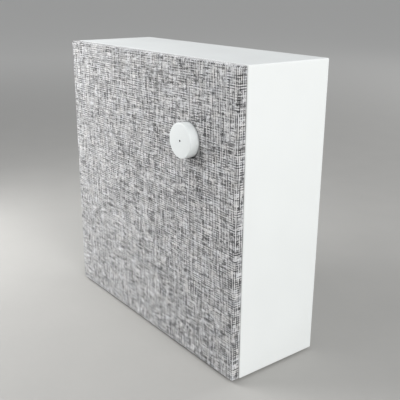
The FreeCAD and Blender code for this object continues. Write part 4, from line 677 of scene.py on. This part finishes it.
def lathe(name: str, profile: Profile, axis: Vector, steps: int) -> Piece:
    """Turn a profile about an axis that runs front to back.

    Args:
        name: Name of the piece.
        profile: Points of radius and y, in order along the outline.
        axis: A point on the axis.
        steps: Facets round the axis.

    Returns:
        The turned piece, with its normals outwards.
    """
    select_only()
    bpy.ops.mesh.primitive_plane_add(size=MM)
    piece = bpy.context.object
    piece.name = piece.data.name = name
    with editing(piece):
        bpy.ops.mesh.select_mode(type="VERT")
        bpy.ops.mesh.select_all(action="SELECT")
        bpy.ops.mesh.merge(type="CENTER")
        bpy.ops.mesh.select_all(action="SELECT")
        bpy.ops.transform.translate(value=(axis.x + profile[0][0], profile[0][1], axis.z))
        for (r_from, y_from), (r_to, y_to) in zip(profile, profile[1:]):
            step = (r_to - r_from, y_to - y_from, 0.0)
            bpy.ops.mesh.extrude_region_move(TRANSFORM_OT_translate={"value": step})
        bpy.ops.mesh.select_all(action="SELECT")
        bpy.ops.mesh.spin(steps=steps, angle=TURN, center=(axis.x, 0.0, axis.z), axis=ALONG_Y)
        bpy.ops.mesh.select_all(action="SELECT")
        bpy.ops.mesh.remove_doubles(threshold=MERGE)
        bpy.ops.mesh.normals_make_consistent(inside=False)
    return piece


def middle(node: str) -> Vector:
    """Middle of a node's box."""
    low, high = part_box(node)
    return (low + high) / 2


def settle(piece: Piece, body: str | None, material: Material, node: str) -> Piece:
    """Dress a finished piece, put it on the body that it rides on and hide the node that it stands for.

    Args:
        piece: The piece.
        body: The body that it moves with, or none for a piece that bends between two.
        material: Its material.
        node: The node that it stands for.

    Returns:
        The same piece.
    """
    piece.data.materials.clear()
    piece.data.materials.append(material)
    if body:
        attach(piece, body)
    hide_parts(node)
    LOG.info("%s: %d faces, on %s", piece.name, len(piece.data.polygons), body or "two bodies")
    return piece


# The pull-off front


class Station(NamedTuple):
    """A place on the cloth's way over an edge, with the cloth used to there and the cloth's normal."""

    offset: float
    depth: float
    length: float = 0.0
    outward: float = 0.0
    backward: float = -1.0

    def bend(self, radius: float, steps: int) -> list["Station"]:
        """Go on round a quarter turn.

        Args:
            radius: Radius of the turn.
            steps: Stations on it.

        Returns:
            The stations after this one.
        """
        stations = []
        for k in range(1, steps + 1):
            angle = QUARTER * k / steps
            outward = self.outward * math.cos(angle) - self.backward * math.sin(angle)
            backward = self.outward * math.sin(angle) + self.backward * math.cos(angle)
            stations.append(Station(self.offset + radius * (outward - self.outward),
                                    self.depth + radius * (backward - self.backward),
                                    self.length + radius * angle, outward, backward))
        return stations

    def go(self, distance: float, steps: int) -> list["Station"]:
        """Go straight on.

        Args:
            distance: How far.
            steps: Stations on the way.

        Returns:
            The stations after this one.
        """
        gone = [distance * k / steps for k in range(1, steps + 1)]
        return [Station(self.offset - self.backward * way, self.depth + self.outward * way,
                        self.length + way, self.outward, self.backward) for way in gone]


@dataclass
class GrilleCloth:
    """Woven cloth drawn over the front frame, turned in at the knob and hemmed behind the rim."""

    relief: float = 0.06 * MM
    edge_radius: float = 1.2 * MM
    corner_radius: float = 1.7 * MM
    fold_radius: float = 0.5 * MM
    hem: float = 5.0 * MM
    hem_corner: float = 0.5 * MM / 7
    hole_gap: float = 0.6 * MM
    hole_shift: tuple[float, float] = (0.25 * MM, -0.3 * MM)
    hole_rounding: float = 0.45 * MM
    hole_flat: float = 3.0 * MM
    lining: float = 2.0 * MM
    edge_steps: int = 5
    wall_steps: int = 3
    hem_steps: int = 2
    hole_steps: int = 3
    corner_steps: int = 6

    def __post_init__(self) -> None:
        """Take the cloth's place from the frame."""
        self.low, self.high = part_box("grille_cloth")
        self.centre = (self.low + self.high) / 2
        half = np.array([(self.high.x - self.low.x) / 2, (self.high.z - self.low.z) / 2])
        self.straight = half - self.corner_radius
        self.flat = half - self.edge_radius
        self.counts = np.round(self.straight * 2 / CLOTH.pitch).astype(int)
        self.pitches = self.straight * 2 / self.counts
        knob_low, knob_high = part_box("knob")
        self.hole = np.array([(knob_low.x + knob_high.x) / 2 - self.centre.x,
                              (knob_low.z + knob_high.z) / 2 - self.centre.z]) + self.hole_shift
        self.hole_radius = (knob_high.x - knob_low.x) / 2 + self.hole_gap
        self.stations = self.over_rim()
        self.points: list[Array] = []
        self.cuts: list[Array] = []
        self.faces: list[tuple[int, ...]] = []

    @property
    def flat_size(self) -> tuple[float, float]:
        """Width and length that the cloth was cut to."""
        width, length = 2 * (self.flat + self.stations[-1].length)
        return float(width), float(length)

    def over_rim(self) -> list[Station]:
        """Way of the cloth over the rim.

        Returns:
            Stations from the front's edge to the end of the hem.
        """
        way = [Station(0.0, self.low.y)]
        way += way[-1].bend(self.edge_radius, self.edge_steps)
        way += way[-1].go(self.high.y - self.fold_radius - way[-1].depth, self.wall_steps)
        way += way[-1].bend(self.fold_radius, self.hem_steps)
        way += way[-1].go(self.hem - self.fold_radius, self.hem_steps)
        return way

    def weave(self, cut: Array) -> Array:
        """Height of the weave.

        Args:
            cut: Points on the flat cut, from its middle.

        Returns:
            Heights from minus the relief to the relief, and none at the knob's hole.
        """
        phase = math.pi * (cut + self.straight) / self.pitches
        height = self.relief * np.cos(phase).prod(axis=1)
        clear = np.linalg.norm(cut - self.hole, axis=1) - self.hole_radius
        return height * np.clip(clear / self.hole_flat, 0.0, 1.0)

    def add_points(self, across: Array, cut: Array, at: Station, look: Array | float = 0.0) -> Array:
        """Add points of the cloth, raised by the weave.

        Args:
            across: Points across the front, from its middle.
            cut: The same points on the flat cut.
            at: Their station.
            look: What each calls outwards, across the front.

        Returns:
            The points' numbers.
        """
        raised = (self.weave(cut) - self.relief)[:, None]
        placed = np.full((len(across), 3), at.depth)
        placed[:, ::2] = across + (self.centre.x, self.centre.z) + look * at.outward * raised
        placed[:, 1:2] += at.backward * raised
        first = sum(len(block) for block in self.points)
        self.points.append(placed)
        self.cuts.append(cut)
        return np.arange(first, first + len(across))

    @staticmethod
    def any_of_four(grid: Array) -> Array:
        """Whether any corner of each cell in a grid is set."""
        return grid[:-1, :-1] | grid[1:, :-1] | grid[1:, 1:] | grid[:-1, 1:]

    def lay_front(self) -> Array:
        """Lay the flat front, with the knob's hole left open.

        Returns:
            The points' numbers, by column and row.
        """
        columns, rows = (np.concatenate([[-flat], np.linspace(-straight, straight, count + 1), [flat]])
                         for flat, straight, count in zip(self.flat, self.straight, self.counts))
        grid = np.stack(np.meshgrid(columns, rows, indexing="ij"), axis=-1).reshape(-1, 2)
        away = grid - self.hole
        distance = np.linalg.norm(away, axis=1)
        rim = self.hole_radius + self.hole_rounding
        open_at = (distance < rim + CLOTH.pitch / 2).reshape(len(columns), len(rows))
        covered = ~self.any_of_four(open_at)
        on_rim = (self.any_of_four(np.pad(~covered, 1)) & ~open_at).reshape(-1)
        grid[on_rim] = self.hole + away[on_rim] / distance[on_rim, None] * rim
        numbers = self.add_points(grid, grid, self.stations[0]).reshape(len(columns), len(rows))
        covered[0, 0] = covered[-1, 0] = covered[-1, -1] = covered[0, -1] = False
        for i, k in np.argwhere(covered):
            self.faces.append((numbers[i, k], numbers[i + 1, k], numbers[i + 1, k + 1], numbers[i, k + 1]))
        self.line_hole(numbers.reshape(-1)[on_rim], away[on_rim])
        return numbers

    def line_hole(self, rim: Array, away: Array) -> None:
        """Turn the cloth in round the knob's hole.

        Args:
            rim: Numbers of the points on the hole's edge.
            away: The same points from the hole's middle.
        """
        order = np.argsort(np.arctan2(away[:, 1], away[:, 0]))
        ring = rim[order]
        inward = -away[order] / np.linalg.norm(away[order], axis=1)[:, None]
        edge = self.hole_radius + self.hole_rounding
        way = Station(-edge, self.low.y).bend(self.hole_rounding, self.hole_steps)
        way += way[-1].go(self.lining, self.hole_steps)
        for at in way:
            inner = self.add_points(self.hole + inward * at.offset, self.hole - inward * (edge - at.length),
                                    at, inward)
            self.faces += zip(ring, np.roll(ring, -1), np.roll(inner, -1), inner)
            ring = inner

    def outline(self) -> tuple[Array, Array, Array]:
        """Points round the front, anticlockwise from its lower left.

        Returns:
            For each point its place on the straight sides, as shares of their half lengths, the
            direction that it looks towards, and whether it lies on a side and not in a corner.
        """
        places, looks, turned = [], [], []
        for side in range(4):
            facing = (side - 1) * QUARTER
            count = self.counts[side % 2]
            along = np.append(np.linspace(-1.0, 1.0, count + 1), np.ones(self.corner_steps - 1))
            turn = np.append(np.zeros(count + 1), np.arange(1, self.corner_steps) / self.corner_steps)
            angles = facing + turn * QUARTER
            places.append(np.stack([math.cos(facing) - math.sin(facing) * along,
                                    math.sin(facing) + math.cos(facing) * along], axis=1))
            looks.append(np.stack([np.cos(angles), np.sin(angles)], axis=1))
            turned.append(turn)
        return np.concatenate(places), np.concatenate(looks), np.concatenate(turned) == 0

    def wrap_edges(self, numbers: Array) -> None:
        """Close the front's rounded corners and carry the cloth over the rim to its hem.

        Args:
            numbers: Numbers of the front's points, by column and row.
        """
        places, look, on_side = self.outline()
        tight = self.corner_radius - self.edge_radius
        sides = [numbers[1:-1, 0], numbers[-1, 1:-1], numbers[-2:0:-1, -1], numbers[0, -2:0:-1]]
        loop = np.empty(len(look), int)
        loop[on_side] = np.concatenate(sides)
        corners = (places * self.straight + look * tight)[~on_side]
        loop[~on_side] = self.add_points(corners, corners, self.stations[0])
        hubs = numbers[np.where(places[:, 0] > 0, -2, 1), np.where(places[:, 1] > 0, -2, 1)]
        bent = ~(on_side & np.roll(on_side, -1))
        self.faces += zip(hubs[bent], loop[bent], np.roll(loop, -1)[bent])
        for at in self.stations[1:]:
            radius = max(tight + at.offset, self.hem_corner)
            straight = np.minimum(self.straight, self.flat + at.offset - radius)
            cut = places * self.straight + look * (tight + at.length)
            following = self.add_points(places * straight + look * radius, cut, at, look)
            self.faces += zip(loop, following, np.roll(following, -1), np.roll(loop, -1))
            loop = following

    def build(self, effects: Effects) -> Piece:
        """Lay the cloth and dress it.

        Args:
            effects: The shared effects.

        Returns:
            The cloth.
        """
        self.wrap_edges(self.lay_front())
        points, cuts = np.concatenate(self.points), np.concatenate(self.cuts)
        used = np.unique(np.concatenate([np.asarray(face) for face in self.faces]))
        renumbered = np.zeros(len(points), int)
        renumbered[used] = np.arange(len(used))
        mesh = bpy.data.meshes.new("front_cloth")
        mesh.from_pydata(points[used].tolist(), [], [renumbered[list(f)].tolist() for f in self.faces])
        spread = cuts[used] / np.array(self.flat_size) + 0.5
        corners = np.empty(len(mesh.loops), int)
        mesh.loops.foreach_get("vertex_index", corners)
        mesh.uv_layers.new(name="flat_cut").data.foreach_set("uv", spread[corners].reshape(-1))
        piece = bpy.data.objects.new("front_cloth", mesh)
        bpy.context.scene.collection.objects.link(piece)
        mesh.shade_smooth()
        finish = replace(CLOTH, pitch=float(self.pitches[0]), flat_size=self.flat_size)
        settle(piece, "grille", finish.build("grille_cloth", effects), "grille_cloth")
        return piece


# The control


@dataclass
class ControlKnob:
    """Turned cap with a soft front edge, a pinhole and a bored hub."""

    edge: float = 0.55 * MM
    back_edge: float = 0.55 * MM / 3
    wall: float = 1.8 * MM
    face: float = 2.2 * MM
    hub: float = 4.8 * MM
    bore: float = 3.05 * MM
    pinhole: float = 0.65 * MM
    bevel: float = 0.65 * MM / 4
    edge_steps: int = 8
    back_steps: int = 3
    steps: int = 128

    def build(self, materials: Materials) -> Piece:
        """Turn the knob and dress it.

        Args:
            materials: The materials, by slot.

        Returns:
            The knob.
        """
        low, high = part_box("knob")
        radius = (high.x - low.x) / 2
        floor = low.y + self.face
        inside = radius - self.wall
        front, back = radius - self.edge, radius - self.back_edge
        profile = [(self.pinhole, floor), (self.pinhole, low.y + self.bevel),
                   (self.pinhole + self.bevel, low.y)]
        profile += arc((front, low.y + self.edge), self.edge, -90, 0, self.edge_steps)
        profile += arc((back, high.y - self.back_edge), self.back_edge, 0, 90, self.back_steps)
        profile += [(inside, high.y), (inside, floor), (self.hub, floor), (self.hub, high.y),
                    (self.bore, high.y), (self.bore, floor), (self.pinhole, floor)]
        piece = lathe("control_knob", profile, middle("knob"), self.steps)
        smooth(piece)
        return settle(piece, "knob", materials["knob_white"], "knob")


# Screws


class Layout(Enum):
    """How the screws of a group lie about its middle."""

    CORNERS = "corners"
    PAIR = "pair"
    TRIANGLE = "triangle"


@dataclass
class ScrewSet:
    """A group of equal pan-head screws with cross recesses, by shares of the head and shank."""

    CROWN = 0.55
    CROWN_STEPS = 6
    POINT = 0.9
    SLOT = 0.3
    ARM = 0.42
    SINK = 0.8
    TAPER = 0.55
    FACING = 0.5
    CREASE = 30.0

    node: str
    layout: Layout
    head: float
    head_height: float
    shank: float
    faces_front: bool
    steps: int = 40

    def places(self) -> list[tuple[float, float]]:
        """Axes of the screws.

        Returns:
            Places across the speaker.
        """
        low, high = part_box(self.node)
        left, right = low.x + self.head, high.x - self.head
        bottom, top = low.z + self.head, high.z - self.head
        if self.layout is Layout.CORNERS:
            return [(x, z) for x in (left, right) for z in (bottom, top)]
        if self.layout is Layout.PAIR:
            return [(x, (bottom + top) / 2) for x in (left, right)]
        return [(left, bottom), (right, bottom), ((left + right) / 2, top)]

    def model(self) -> Piece:
        """Turn one screw and sink the cross in its head.

        Returns:
            The screw at the frame's own depth, on the frame's axis.
        """
        low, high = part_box(self.node)
        end, tip, way = (low.y, high.y, 1) if self.faces_front else (high.y, low.y, -1)
        seat = end + way * self.head_height
        crown = self.head_height * self.CROWN
        bow = (self.head ** 2 + crown ** 2) / (2 * crown)
        profile = [(0.0, end)]
        for k in range(1, self.CROWN_STEPS + 1):
            radius = self.head * k / self.CROWN_STEPS
            profile.append((radius, end + way * (bow - math.sqrt(bow ** 2 - radius ** 2))))
        point = self.shank * self.POINT
        profile += [(self.head, seat), (self.shank, seat), (self.shank, tip - way * point), (0.0, tip)]
        screw = lathe(self.node + "_head", profile, Vector((0.0, 0.0, 0.0)), self.steps)
        cutter = self.cross(end, way)
        select_only(screw)
        recess = screw.modifiers.new("recess", "BOOLEAN")
        recess.object = cutter
        recess.operation = "DIFFERENCE"
        recess.solver = "EXACT"
        bpy.ops.object.modifier_apply(modifier=recess.name)
        bpy.data.objects.remove(cutter)
        return screw

    def cross(self, end: float, way: int) -> Piece:
        """Model the tool that sinks the cross.

        Args:
            end: Depth of the head's crown.
            way: Direction of the shank along Y.

        Returns:
            A tapered plus, from above the crown into the head.
        """
        slot = self.head * self.SLOT
        select_only()
        bpy.ops.mesh.primitive_cube_add(size=1.0, location=(0.0, end, 0.0))
        cutter = bpy.context.object
        cutter.scale = (slot, 2 * self.head_height * self.SINK, slot)
        bpy.ops.object.transform_apply(location=True, rotation=True, scale=True)
        with editing(cutter):
            select_faces(cutter, lambda face: abs(face.normal.y) < self.FACING)
            bpy.ops.mesh.extrude_faces_move(TRANSFORM_OT_shrink_fatten={"value": self.head * self.ARM})
            select_faces(cutter, lambda face: face.normal.y * way > self.FACING)
            bpy.ops.transform.resize(value=(self.TAPER, 1.0, self.TAPER), center_override=(0.0, end, 0.0))
            bpy.ops.mesh.select_all(action="SELECT")
            bpy.ops.mesh.normals_make_consistent(inside=False)
        return cutter

    def build(self, materials: Materials) -> Piece:
        """Copy the screw to each place and dress the group.

        Args:
            materials: The materials, by slot.

        Returns:
            The group as one piece.
        """
        screw = self.model()
        copies = []
        for x, z in self.places():
            copy = screw.copy()
            copy.data = screw.data.copy()
            copy.location = (x, 0.0, z)
            bpy.context.scene.collection.objects.link(copy)
            copies.append(copy)
        bpy.data.objects.remove(screw)
        select_only(*copies)
        bpy.ops.object.transform_apply(location=True, rotation=True, scale=True)
        bpy.ops.object.join()
        piece = copies[0]
        piece.name = piece.data.name = "cross_" + self.node
        smooth(piece, self.CREASE)
        return settle(piece, "cabinet", materials["screw_steel"], self.node)


SCREWS = [
    ScrewSet("rear_screws", Layout.CORNERS, 2.8 * MM, 1.8 * MM, 1.5 * MM, False),
    ScrewSet("baffle_screws", Layout.CORNERS, 2.8 * MM, 1.8 * MM, 1.5 * MM, True),
    ScrewSet("woofer_screws", Layout.CORNERS, 2.1 * MM, 1.4 * MM, 1.1 * MM, True),
    ScrewSet("tweeter_screws", Layout.TRIANGLE, 2.1 * MM, 1.4 * MM, 1.1 * MM, True),
    ScrewSet("tray_screws", Layout.PAIR, 2.1 * MM, 1.4 * MM, 1.1 * MM, False),
]


# The woofer's moving edges


@dataclass
class FlexRing:
    """Turned ring that stays with the basket outside and follows the cone inside."""

    node: str
    name: str
    slot: str
    thickness: float
    fixed: float
    free: float
    inner: float
    steps: int

    def profile(self) -> Profile:
        """Closed section of the ring, in radius and y."""
        raise NotImplementedError

    def build(self, materials: Materials) -> Piece:
        """Turn the ring, dress it and let it bend by distance from the axis.

        Args:
            materials: The materials, by slot.

        Returns:
            The ring.
        """
        axis = middle(self.node)
        piece = lathe(self.name, self.profile(), axis, self.steps)
        smooth(piece)
        settle(piece, None, materials[self.slot], self.node)
        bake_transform(piece, "cabinet", "cone", start=axis + Vector((self.fixed, 0.0, 0.0)),
                 end=axis + Vector((self.free, 0.0, 0.0)))
        shares = piece.data.attributes[BLEND_SHARES].data
        for vertex, share in zip(piece.data.vertices, shares):
            radius = math.hypot(vertex.co.x - axis.x, vertex.co.z - axis.z)
            way = min(max((self.fixed - radius) / (self.fixed - self.free), 0.0), 1.0)
            share.value = way * way * (3 - 2 * way)
        return piece


@dataclass
class WooferSurround(FlexRing):
    """Half-round rubber roll between the basket and the cone."""

    node: str = "woofer_surround"
    name: str = "woofer_roll"
    slot: str = "surround_rubber"
    thickness: float = 0.5 * MM
    fixed: float = 42.5 * MM
    free: float = 35.5 * MM
    inner: float = 33.5 * MM
    steps: int = 144
    roll_steps: int = 18

    def profile(self) -> Profile:
        """Section of the roll and its two lands.

        Returns:
            Closed outline, in radius and y.
        """
        low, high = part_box(self.node)
        outer, land = (high.x - low.x) / 2, high.y - self.thickness
        centre = ((self.fixed + self.free) / 2, high.y)
        roll = (self.fixed - self.free) / 2
        shoulder = math.degrees(math.asin(self.thickness / roll))
        points = [(outer, high.y), (outer, land)]
        points += arc(centre, roll, -shoulder, shoulder - 180, self.roll_steps)
        points += [(self.inner, land), (self.inner, high.y)]
        points += arc(centre, roll - self.thickness, -180, 0, self.roll_steps)
        return points + points[:1]


@dataclass
class WooferSpider(FlexRing):
    """Waved cloth ring that centres the voice coil."""

    node: str = "woofer_spider"
    name: str = "spider_waves"
    slot: str = "spider_cloth"
    thickness: float = 0.5 * MM
    fixed: float = 28.5 * MM
    free: float = 14.83 * MM
    inner: float = 12.55 * MM
    steps: int = 96
    waves: int = 3
    wave_steps: int = 12

    def profile(self) -> Profile:
        """Section of the waves and their two lands.

        Returns:
            Closed outline, in radius and y.
        """
        low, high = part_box(self.node)
        land = high.y - self.thickness
        half_wave = (land - low.y) / 2
        front = [((high.x - low.x) / 2, land)]
        count = self.waves * self.wave_steps
        for k in range(count + 1):
            radius = self.fixed + (self.free - self.fixed) * k / count
            front.append((radius, land - half_wave * (1 - math.cos(TURN * k / self.wave_steps))))
        front.append((self.inner, land))
        back = [(radius, depth + self.thickness) for radius, depth in reversed(front)]
        return front + back + front[:1]


# Nodes that keep their own shape


@dataclass
class CarriedNodes:
    """The frame's own nodes, each dressed in the finish of its slot."""

    effects: Effects

    def __post_init__(self) -> None:
        """Build one material for each slot."""
        self.materials = {slot: finish.build(slot, self.effects) for slot, finish in FINISHES.items()}

    def build(self) -> None:
        """Dress every node that has a finish here."""
        for part in frame["record"]["subparts"]:
            material = self.materials.get(part["material_slot"])
            node = frame["nodes"][part["node"]]
            if material is None or node.hide_render:
                continue
            node.data.materials.clear()
            node.data.materials.append(material)
            LOG.info("%s: %s", part["node"], part["material_slot"])


# Studio


@dataclass
class SoftLight:
    """A large soft lamp that looks at a point."""

    name: str
    place: tuple[float, float, float]
    size: float
    power: float

    def build(self, target: Vector) -> None:
        """Hang the lamp.

        Args:
            target: The point.
        """
        lamp = bpy.data.lights.new(self.name, "AREA")
        lamp.shape = "DISK"
        lamp.size = self.size
        lamp.energy = self.power
        holder = bpy.data.objects.new(self.name, lamp)
        holder.location = self.place
        holder.visible_camera = False
        holder.rotation_mode = "QUATERNION"
        holder.rotation_quaternion = (target - Vector(self.place)).to_track_quat("-Z", "Y")
        bpy.context.scene.collection.objects.link(holder)


LAMPS = [
    SoftLight("left_window", (-0.31, -0.36, 0.43), 0.35, 2.06),
    SoftLight("left_fill", (-0.34, -0.17, 0.2), 0.2, 0.62),
    SoftLight("right_window", (1.4, -0.15, 0.8), 1.0, 16.7),
    SoftLight("rear_window", (0.3, 1.7, 0.5), 0.6, 6.3),
]


@dataclass
class Studio:
    """Pale floor, even surroundings and soft lamps."""

    floor_size: float = 60.0
    surround: Colour = (0.95, 0.97, 1.0)
    surround_strength: float = 0.42

    def build(self, effects: Effects) -> None:
        """Set the stage.

        Args:
            effects: The shared effects.
        """
        select_only()
        bpy.ops.mesh.primitive_plane_add(size=self.floor_size, location=(0.0, 0.0, CAD_BOX[0].z))
        floor = bpy.context.object
        floor.name = "floor"
        floor.data.materials.append(FLOOR.build("studio_floor", effects))
        world = bpy.data.worlds.new("studio")
        world.use_nodes = True
        background = world.node_tree.nodes["Background"]
        background.inputs["Color"].default_value = opaque(self.surround)
        background.inputs["Strength"].default_value = self.surround_strength
        bpy.context.scene.world = world
        for lamp in LAMPS:
            lamp.build((CAD_BOX[0] + CAD_BOX[1]) / 2)
        bpy.context.scene.view_settings.view_transform = "Standard"


@dataclass
class PhotoCamera:
    """Camera at the photograph's viewing angle."""

    target: tuple[float, float, float] = (19.4 * MM, 2.0 * MM, 96.2 * MM)
    azimuth: float = 52.65
    elevation: float = 18.40
    roll: float = 0.32
    distance: float = 464.9 * MM
    lens: float = 58.13
    sensor: float = 36.0

    def build(self) -> None:
        """Place the camera and make it the scene's own."""
        azimuth, elevation = math.radians(self.azimuth), math.radians(self.elevation)
        back = Vector((math.sin(azimuth) * math.cos(elevation),
                       -math.cos(azimuth) * math.cos(elevation), math.sin(elevation)))
        data = bpy.data.cameras.new("photo_camera")
        data.lens = self.lens
        data.sensor_width = self.sensor
        camera = bpy.data.objects.new("photo_camera", data)
        camera.location = Vector(self.target) + back * self.distance
        camera.rotation_mode = "QUATERNION"
        level = (-back).to_track_quat("-Z", "Y")
        camera.rotation_quaternion = level @ Quaternion((0.0, 0.0, 1.0), math.radians(self.roll))
        bpy.context.scene.collection.objects.link(camera)
        bpy.context.scene.camera = camera


def main() -> None:
    """Build the speaker's looks, in order from the front to the studio."""
    logging.basicConfig(level=logging.INFO, format="%(message)s")
    effects = Effects()
    carried = CarriedNodes(effects)
    GrilleCloth().build(effects)
    for piece in (ControlKnob(), *SCREWS, WooferSurround(), WooferSpider()):
        piece.build(carried.materials)
    carried.build()
    Studio().build(effects)
    PhotoCamera().build()


if __name__ == "__main__":
    main()
